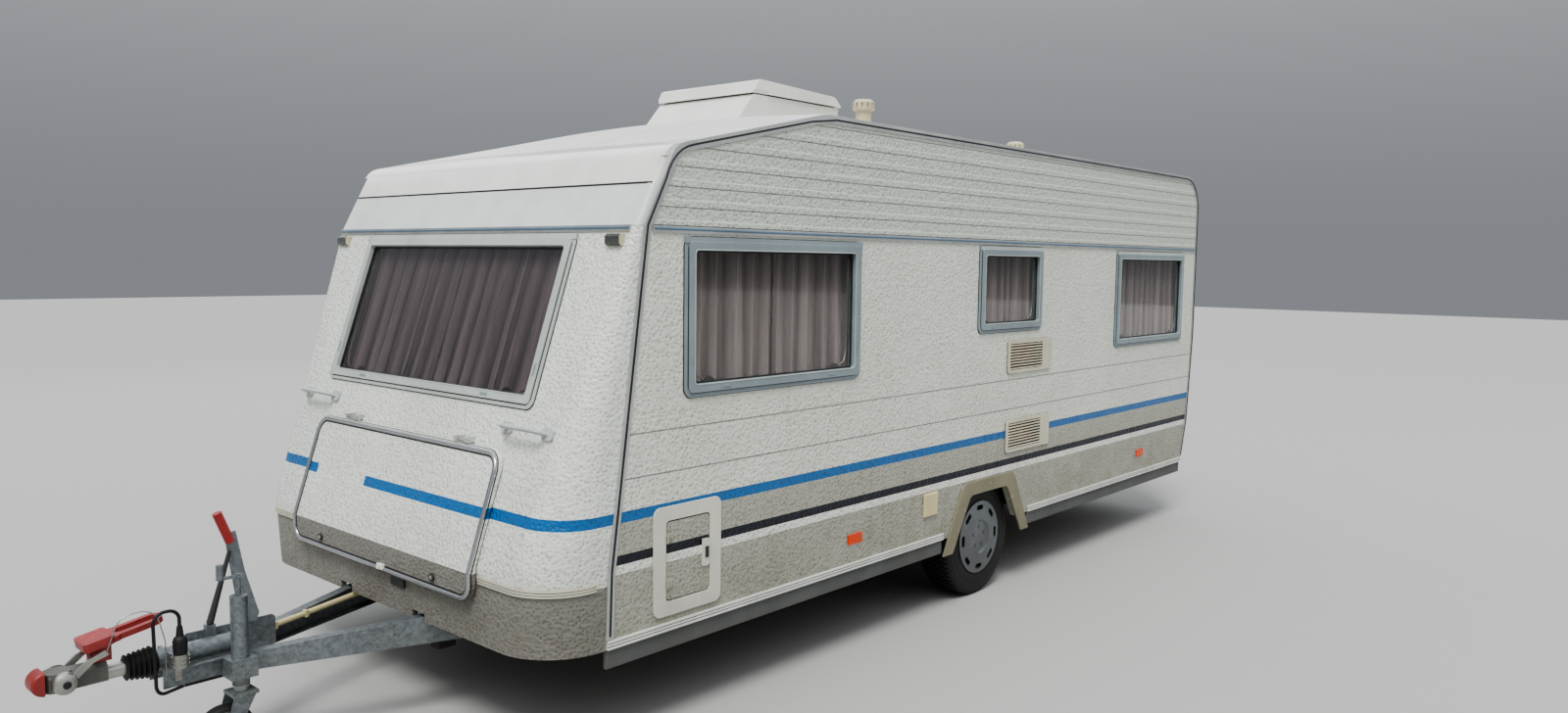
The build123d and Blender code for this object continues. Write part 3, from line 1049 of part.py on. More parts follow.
inner_tube = Pos(JOCKEY_X, JOCKEY_Y, (INNER_TOP + INNER_LOW) / 2) * Cylinder(JOCKEY_INNER_R,
                                                                             INNER_TOP - INNER_LOW)
keep("jockey_inner_tube", inner_tube)
FORK_TOP = INNER_LOW - FIT_GAP
fork_crown = Pos(JOCKEY_X, JOCKEY_Y, FORK_TOP - 6) * Box(90, 92, 12)
fork = fork_crown
for side in (-1, 1):
    y = JOCKEY_Y + side * (JOCKEY_WHEEL_WIDTH / 2 + 10)
    cheek_line = Polyline((JOCKEY_X - 40, FORK_TOP - 2), (JOCKEY_X + 40, FORK_TOP - 2),
                          (JOCKEY_X + JOCKEY_TRAIL + 22, JOCKEY_WHEEL_R - 16),
                          (JOCKEY_X + JOCKEY_TRAIL - 22, JOCKEY_WHEEL_R - 16), close=True)
    cheek = extrude(make_face(Plane.XZ * cheek_line), amount=5)
    cheek = Pos(0, y - 2.5 - cheek.bounding_box().min.Y, 0) * cheek
    fork = fork + cheek
fork_axle = Rot(90, 0, 0) * Cylinder(8, JOCKEY_WHEEL_WIDTH + 32)
fork_axle = Pos(JOCKEY_X + JOCKEY_TRAIL, JOCKEY_Y, JOCKEY_WHEEL_R) * fork_axle
keep("jockey_fork", fork + fork_axle)
jockey_line = Polyline((-30, 40), (-30, 88), (-24, 101), (-10, JOCKEY_WHEEL_R), (10, JOCKEY_WHEEL_R),
                       (24, 101), (30, 88),
                       (30, 40), (14, 34), (30, 26), (30, 8.3), (-30, 8.3), (-30, 26), (-14, 34), close=True)
jockey_wheel = Pos(JOCKEY_X + JOCKEY_TRAIL, JOCKEY_Y, JOCKEY_WHEEL_R) * Rot(0, 0, 90) * revolve(
    make_face(jockey_line), axis=Axis.X)
keep("jockey_wheel", jockey_wheel)

# Ribbed trims round the nose's lower corners, and a blank bracket under the lid
RIB_TRIM_Z = 630
RIB_TRIM_BASE = 5
RIB_TRIM_OUT = 8
RIB_PITCH = 10
RIB_WIDTH = 7
RIB_COUNT = 3
RIB_TRIM_REAR_X = 225


def nose_band(z_low, height, out):
    """Band of even height round the nose, standing out from it."""
    return extrude(wrap_fill(z_low, -out), amount=height, dir=(0, 0, 1)) - front_fill


ribbed = nose_band(RIB_TRIM_Z, RIB_COUNT * RIB_PITCH, RIB_TRIM_BASE)
for i in range(RIB_COUNT):
    z_rib = RIB_TRIM_Z + i * RIB_PITCH + (RIB_PITCH - RIB_WIDTH) / 2
    ribbed = ribbed + nose_band(z_rib, RIB_WIDTH, RIB_TRIM_OUT)
ribbed = ribbed & block(RIB_TRIM_REAR_X, NOSE_X, LID_HALF + 12, HALF + 40, RIB_TRIM_Z - 20, RIB_TRIM_Z + 60)
blank_bracket = block(FRONT_CREASE_X - 5, FRONT_CREASE_X + 10, 96, 196, 506, 546) - front_fill
keep("front_corner_trims", ribbed, other_side(ribbed), blank_bracket)

# Plug parked in its holder on the left beam, its lead under the beam, and the breakaway wire
LEAD_R = 6
LEAD_BEND = 38
LEAD_Y = BEAM_NOSE_Y - 2
LEAD_Z = BEAM_LOW_Z - LEAD_R - FIT_GAP
HOLDER_X = 1262
HOLDER_Z = 404
HOLDER_R = 26
HOLDER_LENGTH = 48
PLUG_TOP_Z = 528
beam_face_y = BEAM_NOSE_Y + BEAM_SKIN + 2
holder_y = beam_face_y + 4 + HOLDER_R - 2
holder = Pos(HOLDER_X, holder_y, HOLDER_Z) * Cylinder(HOLDER_R, HOLDER_LENGTH)
for i in range(3):
    holder = holder + Pos(HOLDER_X, holder_y, HOLDER_Z - 14 + 14 * i) * Cylinder(HOLDER_R + 3, 5)
holder = holder + block(HOLDER_X - 11, HOLDER_X + 11, beam_face_y, beam_face_y + 4, BEAM_LOW_Z + 20,
                        HOLDER_Z + 16)
holder = holder - block(HOLDER_X - 60, HOLDER_X + 60, 0, beam_face_y, 300, 500)
plug_low = HOLDER_Z + HOLDER_LENGTH / 2 + FIT_GAP
plug_line = Polyline((0, plug_low), (23, plug_low), (24, plug_low + 46), (20, plug_low + 58),
                     (13, plug_low + 64),
                     (9, PLUG_TOP_Z), (0, PLUG_TOP_Z), close=True)
plug = Pos(HOLDER_X, holder_y, 0) * revolve(make_face(Plane.XZ * plug_line), axis=Axis.Z)
lead_end_run = 640
lead_end = (BEAM_KINK_X - 15 - lead_end_run * math.cos(KINK_ANGLE),
            LEAD_Y + 14 + lead_end_run * math.sin(KINK_ANGLE), LEAD_Z)
lead_path = FilletPolyline((HOLDER_X, holder_y, PLUG_TOP_Z - 4), (HOLDER_X, holder_y, 590), (1350, 104, 590),
                           (1344, 100, LEAD_Z), (1240, LEAD_Y, LEAD_Z), (BEAM_KINK_X - 15, LEAD_Y,
                                                                         LEAD_Z), lead_end,
                           radius=LEAD_BEND)
lead = sweep(Plane(origin=lead_path @ 0, z_dir=lead_path % 0) * Circle(LEAD_R), path=lead_path)
lead_box = block(lead_end[0] - 70, lead_end[0] + 8, lead_end[1] - 22, lead_end[1] + 34, BEAM_LOW_Z - 34,
                 BEAM_LOW_Z - FIT_GAP)
WIRE_R = 2
wire_y = beam_face_y + WIRE_R + FIT_GAP
wire_end = (BALL_X - 122, 56 + WIRE_R + FIT_GAP, BALL_Z + 76)
wire_path = FilletPolyline((BEAM_NOSE_X - 10, wire_y, BEAM_TOP_Z - 20), (BEAM_NOSE_X - 8, wire_y + 4, 480),
                           (1332, wire_y + 6, 604), (1440, 66, 596), wire_end, radius=60)
wire = sweep(Plane(origin=wire_path @ 0, z_dir=wire_path % 0) * Circle(WIRE_R), path=wire_path)
keep("plug_and_lead", holder, plug + lead + lead_box, wire)

# Pipe clipped along the inner edge of the right beam
PIPE_R = 11
PIPE_WALL = 2
PIPE_START = 60
PIPE_LENGTH = 700
PIPE_Z = BEAM_TOP_Z + PIPE_R


def along_beam(run):
    """Location beside the inner edge of the right beam, its z axis running back along it."""
    way = Vector(-math.cos(KINK_ANGLE), -math.sin(KINK_ANGLE), 0)
    inwards = Vector(-math.sin(KINK_ANGLE), math.cos(KINK_ANGLE), 0) * (PIPE_R + FIT_GAP)
    origin = Vector(BEAM_KINK_X, -BEAM_NOSE_Y, PIPE_Z) + way * run + inwards
    return Plane(origin=origin, x_dir=(0, 0, 1), z_dir=way).location


pipe = along_beam(PIPE_START) * extrude(Circle(PIPE_R) - Circle(PIPE_R - PIPE_WALL), amount=PIPE_LENGTH)
clip_face = Pos(0, 3) * Rectangle(2 * PIPE_R + 6, 2 * PIPE_R) - Circle(PIPE_R)
pipe_clips = [along_beam(run) * extrude(clip_face, amount=16) for run in (150, 310)]
keep("drawbar_pipe", pipe, *pipe_clips)

# Inside: benches, kitchen, wardrobe and bed, with their cushions, and curtains behind the windows
ROOM_FLOOR_Z = FLOOR_BOTTOM + FLOOR_THICK
ROOM_SIDE_Y = HALF - WALL - 3
BOARD = 15


def cabinet(x0, x1, y0, y1, z0, z1):
    """Open-bottomed box of board."""
    return block(x0, x1, y0, y1, z0, z1) - block(x0 + BOARD, x1 - BOARD, y0 + BOARD, y1 - BOARD, z0 - 1,
                                                 z1 - BOARD)


SEAT_Z = 900
bench_left = cabinet(-1250, LOCKER_REAR_X - 15, 420, ROOM_SIDE_Y, ROOM_FLOOR_Z, SEAT_Z)
bench_right = cabinet(-1250, LOCKER_REAR_X - 15, -ROOM_SIDE_Y, -420, ROOM_FLOOR_Z, SEAT_Z)
tray_room = block(HATCH_REAR_X + 48, HATCH_FRONT_X - 48, HALF - WALL - HATCH_DEPTH - 2, HALF,
                  HATCH_BOTTOM_Z + 38, HATCH_TOP_Z - 38)
cushions = [block(-1240, LOCKER_REAR_X - 70, side * 740 - 315, side * 740 + 315, SEAT_Z, SEAT_Z + 120)
            for side in (-1, 1)]
table = block(-1050, -300, -330, 330, 1130, 1156) + Pos(-675, 0, (1130 + ROOM_FLOOR_Z) / 2) * Cylinder(
    30, 1130 - ROOM_FLOOR_Z) + Pos(-675, 0, ROOM_FLOOR_Z + 6) * Cylinder(160, 12)
kitchen = cabinet(-3250, -2000, 520, ROOM_SIDE_Y, ROOM_FLOOR_Z, 1370)
wheel_room = block(WHEEL_X - ARCH_BOX_HALF - 3, WHEEL_X + ARCH_BOX_HALF + 3, ARCH_BOX_INNER_Y - 3, HALF,
                   ROOM_FLOOR_Z - 2, ARCH_BOX_TOP_Z + 3)
kitchen = kitchen - wheel_room
kitchen = kitchen - Pos(-2450, 790, 1370) * Cylinder(165, 40)
wardrobe = cabinet(-3120, -2000, -ROOM_SIDE_Y, -520, ROOM_FLOOR_Z, 1420)
wardrobe = wardrobe - other_side(wheel_room)
bed_base = cabinet(REAR_FOOT_X + 55, -4050, -ROOM_SIDE_Y, ROOM_SIDE_Y, ROOM_FLOOR_Z, SEAT_Z)
mattress = block(REAR_FOOT_X + 65, -4060, -ROOM_SIDE_Y + 10, ROOM_SIDE_Y - 10, SEAT_Z, SEAT_Z + 140)
keep("furniture", bench_left - tray_room, bench_right, table, kitchen, wardrobe, bed_base)
keep("cushions", *cushions, mattress)

CURTAIN_THICK = 34
CURTAIN_EDGE = 30
CURTAIN_MEET = 5


def curtain_pair(w, h, wall):
    """Two drawn curtains that meet behind a window, flat-built on the outside of its wall."""
    width = (w - CURTAIN_MEET) / 2 - CURTAIN_EDGE
    shift = (width + CURTAIN_MEET) / 2
    depth = -wall - FIT_GAP - CURTAIN_THICK / 2
    return [Pos(side * shift, 10, depth) * Box(width, h + 40, CURTAIN_THICK) for side in (-1, 1)]


curtains = []
for name, x_front, x_rear, z_low, z_high in WINDOWS:
    place = on_left(x_front, x_rear, z_low, z_high)
    pair = [place * curtain for curtain in curtain_pair(x_front - x_rear, z_high - z_low, WALL)]
    curtains += pair + [other_side(curtain) for curtain in pair]
curtains += [front_place * curtain for curtain in curtain_pair(FRONT_WINDOW_WIDTH, front_height, FRONT_THICK)]
curtains += [rear_place * curtain - rear_wall
             for curtain in curtain_pair(REAR_WINDOW_WIDTH, rear_height, ROOF_THICK)]
keep("curtains", *curtains)


# Origin under the middle of the whole length, then one file for each node
ends = [side for shape in nodes.values() for side in (shape.bounding_box().min.X, shape.bounding_box().max.X)]
ORIGIN_X = round((min(ends) + max(ends)) / 2, 1)
os.makedirs("parts", exist_ok=True)
for name, shape in nodes.items():
    moved = Pos(-ORIGIN_X, 0, 0) * shape
    export_step(moved, f"parts/{name}.step")
    box = moved.bounding_box()
    size = [round(v) for v in (box.min.X, box.max.X, box.min.Y, box.max.Y, box.min.Z, box.max.Z)]
    print(name, len(moved.solids()), "solids", size)
print("origin station", ORIGIN_X)
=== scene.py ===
# %% [markdown]
# A travel caravan on one axle, dressed for its portrait.
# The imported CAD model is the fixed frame: it gives every size and place here.
# Each step takes one kind of surface or detail of the real thing, says what it is,
# and picks the tool that follows how it is made: a shader for what is printed,
# pressed or sprayed, Geometry Nodes for what repeats, and mesh code for cloth.

# %% Load the frame
import json
import math
import random

import bmesh
import bpy
from mathutils import Matrix, Vector
from mathutils.bvhtree import BVHTree

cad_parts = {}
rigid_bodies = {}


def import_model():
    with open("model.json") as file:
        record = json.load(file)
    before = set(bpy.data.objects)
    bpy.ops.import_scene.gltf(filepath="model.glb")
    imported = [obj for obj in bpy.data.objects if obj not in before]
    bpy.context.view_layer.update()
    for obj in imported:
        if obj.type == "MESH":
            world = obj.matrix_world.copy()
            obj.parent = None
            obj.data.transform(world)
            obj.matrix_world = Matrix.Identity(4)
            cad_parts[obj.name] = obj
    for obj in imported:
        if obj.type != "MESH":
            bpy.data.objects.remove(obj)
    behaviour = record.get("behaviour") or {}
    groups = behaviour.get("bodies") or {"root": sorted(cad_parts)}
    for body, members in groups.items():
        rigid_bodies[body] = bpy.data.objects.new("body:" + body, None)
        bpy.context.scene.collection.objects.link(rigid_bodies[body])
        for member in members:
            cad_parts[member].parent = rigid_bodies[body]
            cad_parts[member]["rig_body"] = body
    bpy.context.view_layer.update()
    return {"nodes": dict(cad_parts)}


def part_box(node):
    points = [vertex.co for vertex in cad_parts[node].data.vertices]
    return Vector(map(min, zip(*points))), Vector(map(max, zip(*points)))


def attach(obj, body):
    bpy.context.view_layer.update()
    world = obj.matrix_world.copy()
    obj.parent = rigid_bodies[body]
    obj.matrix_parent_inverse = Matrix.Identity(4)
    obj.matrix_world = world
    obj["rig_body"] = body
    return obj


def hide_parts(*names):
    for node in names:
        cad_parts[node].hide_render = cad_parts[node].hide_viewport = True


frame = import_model()

# %% [markdown]
# Stations along the caravan are counted from the front edge of its side wall, as a body
# builder counts them. The wheel is the fixed point: its centre gives the shift from
# stations to the frame, so every detail below sits on what carries it.

# %% Places on the caravan
WHEEL_STATION = -2.507
tyre_low, tyre_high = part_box("tyre_left")
STATION_SHIFT = (tyre_low.x + tyre_high.x) / 2 - WHEEL_STATION
SIDE = 1.1
WAIST = 1.955
CREASE = 0.690
FRONT_WAIST_X = 0.030
FRONT_CREASE_X = 0.455


def at(x, y, z):
    """A point given by its station, in the frame."""
    return Vector((x + STATION_SHIFT, y, z))


def front_station(z):
    """Station of the middle of the raked front face at a height."""
    share = (WAIST - max(z, CREASE)) / (WAIST - CREASE)
    return FRONT_WAIST_X + (FRONT_CREASE_X - FRONT_WAIST_X) * share


print("station shift", round(STATION_SHIFT, 4))

# %% [markdown]
# Shader trees are easier to read when a node and its links take one line each.
# These helpers only save typing: they add a node, do a sum, and mix two colours.

# %% Short hands for trees of nodes
def add_node(tree, kind, settings=None, values=None):
    made = tree.nodes.new(kind)
    for key, value in (settings or {}).items():
        setattr(made, key, value)
    for key, value in (values or {}).items():
        plug(tree, value, made.inputs[key])
    return made


def plug(tree, value, socket):
    """Links a socket to another, or sets its value."""
    if isinstance(value, bpy.types.NodeSocket):
        tree.links.new(value, socket)
    else:
        socket.default_value = value


def sum_of(tree, operation, *terms):
    made = tree.nodes.new("ShaderNodeMath")
    made.operation = operation
    for value, socket in zip(terms, made.inputs):
        plug(tree, value, socket)
    return made.outputs[0]


def mixed(tree, mask, under, over, blend="MIX"):
    """Colour under where the mask is 0, over (or the two blended) where it is 1."""
    made = add_node(tree, "ShaderNodeMix", {"data_type": "RGBA", "blend_type": blend})
    for value, index in ((mask, 0), (under, 6), (over, 7)):
        plug(tree, value, made.inputs[index])
    return made.outputs[2]


def ramped(tree, value, low, high, start=0.0, end=1.0):
    """Turns the span from low to high into start to end, with soft ends."""
    made = add_node(tree, "ShaderNodeMapRange", {"interpolation_type": "SMOOTHSTEP"})
    for index, term in enumerate((value, low, high, start, end)):
        plug(tree, term, made.inputs[index])
    return made.outputs[0]


print("short hands ready in Blender", bpy.app.version_string)

# %% [markdown]
# A colour picked on a screen isn't the light that a shader works with, so it is turned
# into light values once. Patterns are read at the object's own coordinates, in metres,
# which keeps them fixed to the piece wherever the camera is.

# %% Colours, places and noise
def only_between(tree, value, low, high):
    """1 where a value lies between two limits."""
    above, below = sum_of(tree, "GREATER_THAN", value, low), sum_of(tree, "LESS_THAN", value, high)
    return sum_of(tree, "MULTIPLY", above, below)


def colour(red, green, blue):
    """A colour picked on a screen, 0 to 255, as the light values that shaders use."""
    values = []
    for channel in (red, green, blue):
        share = channel / 255
        values.append(share / 12.92 if share <= 0.04045 else ((share + 0.055) / 1.055) ** 2.4)
    return (*values, 1.0)


def object_place(tree):
    """The point being shaded, and its three coordinates, in metres."""
    place = tree.nodes.new("ShaderNodeTexCoord").outputs["Object"]
    split = add_node(tree, "ShaderNodeSeparateXYZ", values={"Vector": place})
    return place, split.outputs


def stretched(tree, place, scale):
    made = add_node(tree, "ShaderNodeMapping", values={"Vector": place, "Scale": scale})
    return made.outputs[0]


def noise_of(tree, place, scale, detail=3.0, roughness=0.5):
    made = add_node(tree, "ShaderNodeTexNoise", values={
        "Vector": place, "Scale": scale, "Detail": detail, "Roughness": roughness})
    return made.outputs["Fac"]


print("middle grey as light", round(colour(128, 128, 128)[0], 3))

# %% [markdown]
# Dirt, wear, grain and pressed patterns come back in many finishes, so each is built once
# as a node group with named inputs and placed in every material with its own values.

# %% Groups and how a tree uses them
def new_group(name, inputs, outputs):
    """A shader node group with named inputs; returns its tree, its inputs and its output node."""
    tree = bpy.data.node_groups.new(name, "ShaderNodeTree")
    for label, value in inputs.items():
        socket = tree.interface.new_socket(name=label, in_out="INPUT", socket_type="NodeSocketFloat")
        socket.default_value = value
    for label in outputs:
        tree.interface.new_socket(name=label, in_out="OUTPUT", socket_type="NodeSocketFloat")
    return tree, tree.nodes.new("NodeGroupInput").outputs, tree.nodes.new("NodeGroupOutput")


def group_of(tree, name, values):
    """Places a group in a tree and returns its outputs."""
    made = add_node(tree, "ShaderNodeGroup", {"node_tree": bpy.data.node_groups[name]}, values)
    return made.outputs


print("node groups so far", len(bpy.data.node_groups))

# %% [markdown]
# A caravan that lives outdoors shows two kinds of dirt: splashes that thin out upwards
# from the road, and thin streaks that rain draws down the walls. One group makes both
# as a mask, so walls, trims and wheels share the same weather at their own strength.

# %% Dirt shared by every finish
dirt, given, result = new_group(
    "road dirt", {"Foot": 0.3, "Top": 0.9, "Amount": 0.5, "Streaks": 0.3}, ["Mask"])
place, axes = object_place(dirt)
height_share = ramped(dirt, axes["Z"], given["Foot"], given["Top"], 1.0, 0.0)
splash = sum_of(dirt, "POWER", height_share, 1.6)
patches = ramped(dirt, noise_of(dirt, place, 7.0, 5.0, 0.62), 0.28, 0.72)
patches = sum_of(dirt, "ADD", sum_of(dirt, "MULTIPLY", patches, 0.8), 0.35)
splash = sum_of(dirt, "MULTIPLY", splash, patches)
rain = noise_of(dirt, stretched(dirt, place, (34.0, 34.0, 0.9)), 1.0, 4.0, 0.6)
rain = ramped(dirt, rain, 0.50, 0.80)
rain_fade = ramped(dirt, noise_of(dirt, stretched(dirt, place, (2.0, 2.0, 3.0)), 1.0), 0.4, 0.7)
rain = sum_of(dirt, "MULTIPLY", sum_of(dirt, "MULTIPLY", rain, rain_fade), given["Streaks"])
both = sum_of(dirt, "ADD", sum_of(dirt, "MULTIPLY", splash, given["Amount"]), rain)
both.node.use_clamp = True
dirt.links.new(both, result.inputs["Mask"])
print(dirt.name, len(dirt.nodes), "nodes")

# %% [markdown]
# Rims, corners and edges lose their finish first. Pointiness tells how sharply the
# surface turns, and broken up by noise it gives the rubbed places of any solid piece.

# %% Wear along edges
wear, given, result = new_group("edge wear", {"Amount": 0.5, "Scale": 40.0}, ["Mask"])
place, _ = object_place(wear)
turn = wear.nodes.new("ShaderNodeNewGeometry").outputs["Pointiness"]
sharp = ramped(wear, turn, 0.52, 0.62)
broken = ramped(wear, noise_of(wear, place, given["Scale"], 4.0, 0.7), 0.42, 0.62)
rubbed = sum_of(wear, "MULTIPLY", sum_of(wear, "MULTIPLY", sharp, broken), given["Amount"])
wear.links.new(rubbed, result.inputs["Mask"])
print(wear.name, len(wear.nodes), "nodes")

# %% [markdown]
# Moulded plastic and paint are never quite even. This group gives a fine grain for the
# bump and a slow cloud for the colour and the gloss.

# %% Grain and cloud of moulded and painted pieces
grain, given, result = new_group(
    "grain and cloud", {"Grain Scale": 700.0, "Cloud Scale": 5.0}, ["Grain", "Cloud"])
place, _ = object_place(grain)
grain.links.new(noise_of(grain, place, given["Grain Scale"], 2.0), result.inputs["Grain"])
grain.links.new(noise_of(grain, place, given["Cloud Scale"], 4.0, 0.6), result.inputs["Cloud"])
print(grain.name, len(grain.nodes), "nodes")

# %% [markdown]
# The walls are thin aluminium sheet with a pressed, hammered pattern: shallow dents about
# a centimetre wide that touch each other. A soft Voronoi gives the dents, and a little
# noise moves them off a grid. Above the waist strip flat level bands are pressed into the
# sheet as well: the upper edge of each band catches the sky and the lower one is in shade.
# Besides the height, the group gives masks for painted light: a painted highlight along
# the upper edge of each band, painted shade along its lower edge, and painted shade in
# the hollows of the dents.

# %% Pressed pattern of the wall sheet
pressed, given, result = new_group(
    "pressed sheet", {"Dent Scale": 70.0, "Rib Pitch": 0.077, "Ribs From": WAIST},
    ["Height", "Lit Edge", "Shaded Edge", "Pits"])
place, axes = object_place(pressed)
dents = add_node(pressed, "ShaderNodeTexVoronoi", {"feature": "SMOOTH_F1"}, {
    "Vector": place, "Scale": given["Dent Scale"], "Smoothness": 0.6, "Randomness": 0.85}).outputs["Distance"]
above = sum_of(pressed, "GREATER_THAN", axes["Z"], given["Ribs From"])
along = sum_of(pressed, "FRACT", sum_of(pressed, "DIVIDE", axes["Z"], given["Rib Pitch"]))
# masks of painted shade on the lower edge and a painted highlight on the upper edge of each band
for label, edge in (("Shaded Edge", 0.32), ("Lit Edge", 0.68)):
    off_edge = sum_of(pressed, "ABSOLUTE", sum_of(pressed, "SUBTRACT", along, edge))
    line = ramped(pressed, off_edge, 0.075, 0.02)
    pressed.links.new(sum_of(pressed, "MULTIPLY", line, above), result.inputs[label])
from_middle = sum_of(pressed, "ABSOLUTE", sum_of(pressed, "SUBTRACT", along, 0.5))
proud = sum_of(pressed, "MULTIPLY", ramped(pressed, from_middle, 0.21, 0.15), above)
pressed.links.new(sum_of(pressed, "ADD", dents, proud), result.inputs["Height"])
# painted shade in the hollows of the dents, broken up by noise
uneven = ramped(pressed, noise_of(pressed, place, 38.0, 3.0), 0.35, 0.6, 0.35, 1.0)
dent_shade = sum_of(pressed, "MULTIPLY", ramped(pressed, dents, 0.46, 0.14), uneven)
pressed.links.new(dent_shade, result.inputs["Pits"])
print(pressed.name, len(pressed.nodes), "nodes")

# %% [markdown]
# The paint scheme is a set of level bands that run round the whole body: a light field
# with two fine grey lines, a blue stripe, a greyer field, a dark stripe with a white one
# under it, and the greyer field again down to the sill. A band is only two comparisons
# with the height, so one small group draws every band.

# %% Bands of the paint scheme
band, given, result = new_group("level band", {"Low": 0.0, "High": 1.0}, ["Mask"])
_, axes = object_place(band)
band.links.new(only_between(band, axes["Z"], given["Low"], given["High"]), result.inputs["Mask"])

CREAM = colour(214, 216, 204)
RIBBED_GREY = colour(192, 197, 186)
LOWER_GREY = colour(162, 162, 150)
LINE_GREY = colour(134, 136, 130)
STRIPE_BLUE = colour(30, 98, 156)
STRIPE_NAVY = colour(14, 18, 32)
STRIPE_WHITE = colour(222, 222, 216)
FRONT_WHITE = colour(218, 221, 213)
# the front panel's real skirt grey, also painted shade on the lower part of the locker lid
SKIRT_GREY_AND_LID_SHADE = colour(126, 124, 117)
BLUE_TOP, BLUE_FOOT = 0.903, 0.862
NAVY_TOP, NAVY_FOOT = 0.742, 0.706
WHITE_FOOT = 0.672
FINE_LINES = (1.182, 1.018)
FINE_LINE_WIDTH = 0.006
ROOF_TOP = 3.0

# low edge, high edge and colour of each band of the side walls
SIDE_BANDS = [
    (WAIST, ROOF_TOP, RIBBED_GREY),
    *((low, low + FINE_LINE_WIDTH, LINE_GREY) for low in FINE_LINES),
    (0.0, BLUE_FOOT, LOWER_GREY),
    (BLUE_FOOT, BLUE_TOP, STRIPE_BLUE),
    (WHITE_FOOT, NAVY_FOOT, STRIPE_WHITE),
    (NAVY_FOOT, NAVY_TOP, STRIPE_NAVY),
]
FRONT_BANDS = [
    (BLUE_FOOT, BLUE_TOP, STRIPE_BLUE),
]


def banded(tree, field, bands):
    """Paints the bands over a field colour, in their order."""
    painted = field
    for low, high, paint in bands:
        inside = group_of(tree, "level band", {"Low": low, "High": high})["Mask"]
        painted = mixed(tree, inside, painted, paint)
    return painted


print("shader groups", sorted(g.name for g in bpy.data.node_groups))

# %% [markdown]
# Every material starts with the Principled shader, gets its relief through a bump node,
# and some get one more colour over what they already show. These three steps are written
# once here.

# %% Start of a material, relief and a further colour
def new_material(name):
    """A material, its tree and its shader."""
    made = bpy.data.materials.new(name)
    made.use_nodes = True
    return made, made.node_tree, made.node_tree.nodes["Principled BSDF"]


def bumped(tree, shader, height, strength, depth):
    """Lets a height turn the light on the surface."""
    relief = add_node(tree, "ShaderNodeBump", values={
        "Strength": strength, "Distance": depth, "Height": height})
    tree.links.new(relief.outputs[0], shader.inputs["Normal"])


def painted_over(made, mask, paint):
    """Lays one more colour over a finished material, where the mask is 1."""
    tree = made.node_tree
    base = tree.nodes["Principled BSDF"].inputs["Base Color"]
    tree.links.new(mixed(tree, mask, base.links[0].from_socket, paint), base)
    return made


def scaled(base, factor):
    """A colour made lighter or darker."""
    return tuple(min(1.0, v * factor) for v in base[:3]) + (1.0,)


print("half of white", scaled(colour(255, 255, 255), 0.5))

# %% [markdown]
# Most finishes are one recipe with other values: a base colour with a slow cloud in it,
# a grain in the bump, dirt from the road and wear on the edges. The shader itself stays
# in each material, and only masks and heights come from the groups.

# %% One recipe for painted, moulded and plated finishes
DIRT = colour(92, 88, 74)


def finish(name, base, rough, metal=0.0, cloud=0.10, grain_scale=700.0, bump=0.05, bump_depth=0.0004,
           dirty=0.25, streaks=0.1, foot=0.2, top=1.0, worn=0.0, worn_colour=None, coat=0.0, height=None):
    made, tree, shader = new_material(name)
    surface = group_of(tree, "grain and cloud", {"Grain Scale": grain_scale})
    lighter = scaled(base, 1 + cloud * 0.6)
    paint = mixed(tree, ramped(tree, surface["Cloud"], 0.35, 0.65), scaled(base, 1 - cloud), lighter)
    weather = group_of(tree, "road dirt", {
        "Foot": foot, "Top": top, "Amount": dirty, "Streaks": streaks})["Mask"]
    if worn:
        rubbed = group_of(tree, "edge wear", {"Amount": worn})["Mask"]
        paint = mixed(tree, rubbed, paint, worn_colour or lighter)
    tree.links.new(mixed(tree, weather, paint, DIRT), shader.inputs["Base Color"])
    gloss = sum_of(tree, "ADD", rough - 0.04, sum_of(tree, "MULTIPLY", surface["Cloud"], 0.08))
    gloss = sum_of(tree, "ADD", gloss, sum_of(tree, "MULTIPLY", weather, 0.35))
    gloss.node.use_clamp = True
    tree.links.new(gloss, shader.inputs["Roughness"])
    shader.inputs["Metallic"].default_value = metal
    shader.inputs["Coat Weight"].default_value = coat
    bumped(tree, shader, height(tree) if height else surface["Grain"], bump, bump_depth)
    return made


print("dirt as light", [round(v, 3) for v in DIRT[:3]])

# %% [markdown]
# The wall sheet adds the bands of the paint scheme and the pressed pattern to that recipe.
# Three materials share it: the sides with every band, the front with its blue stripe and
# warm grey skirt, and the locker lid. The lid is cream all over, so on it the same grey,
# from its bend down, is painted shade on the upright lower part.

# %% Painted wall sheet
SHADE_GREY = colour(168, 170, 156)
# colours of the painted highlight and painted shade on the band edges, of the painted shade in the hollows of
# the dents, and of road dirt
RIB_LIT, RIB_SHADED = colour(226, 229, 218), colour(128, 133, 124)
DENT_SHADE_GREY, SOILED = colour(172, 171, 163), colour(196, 188, 172)
SHEET_RELIEF = 0.0048


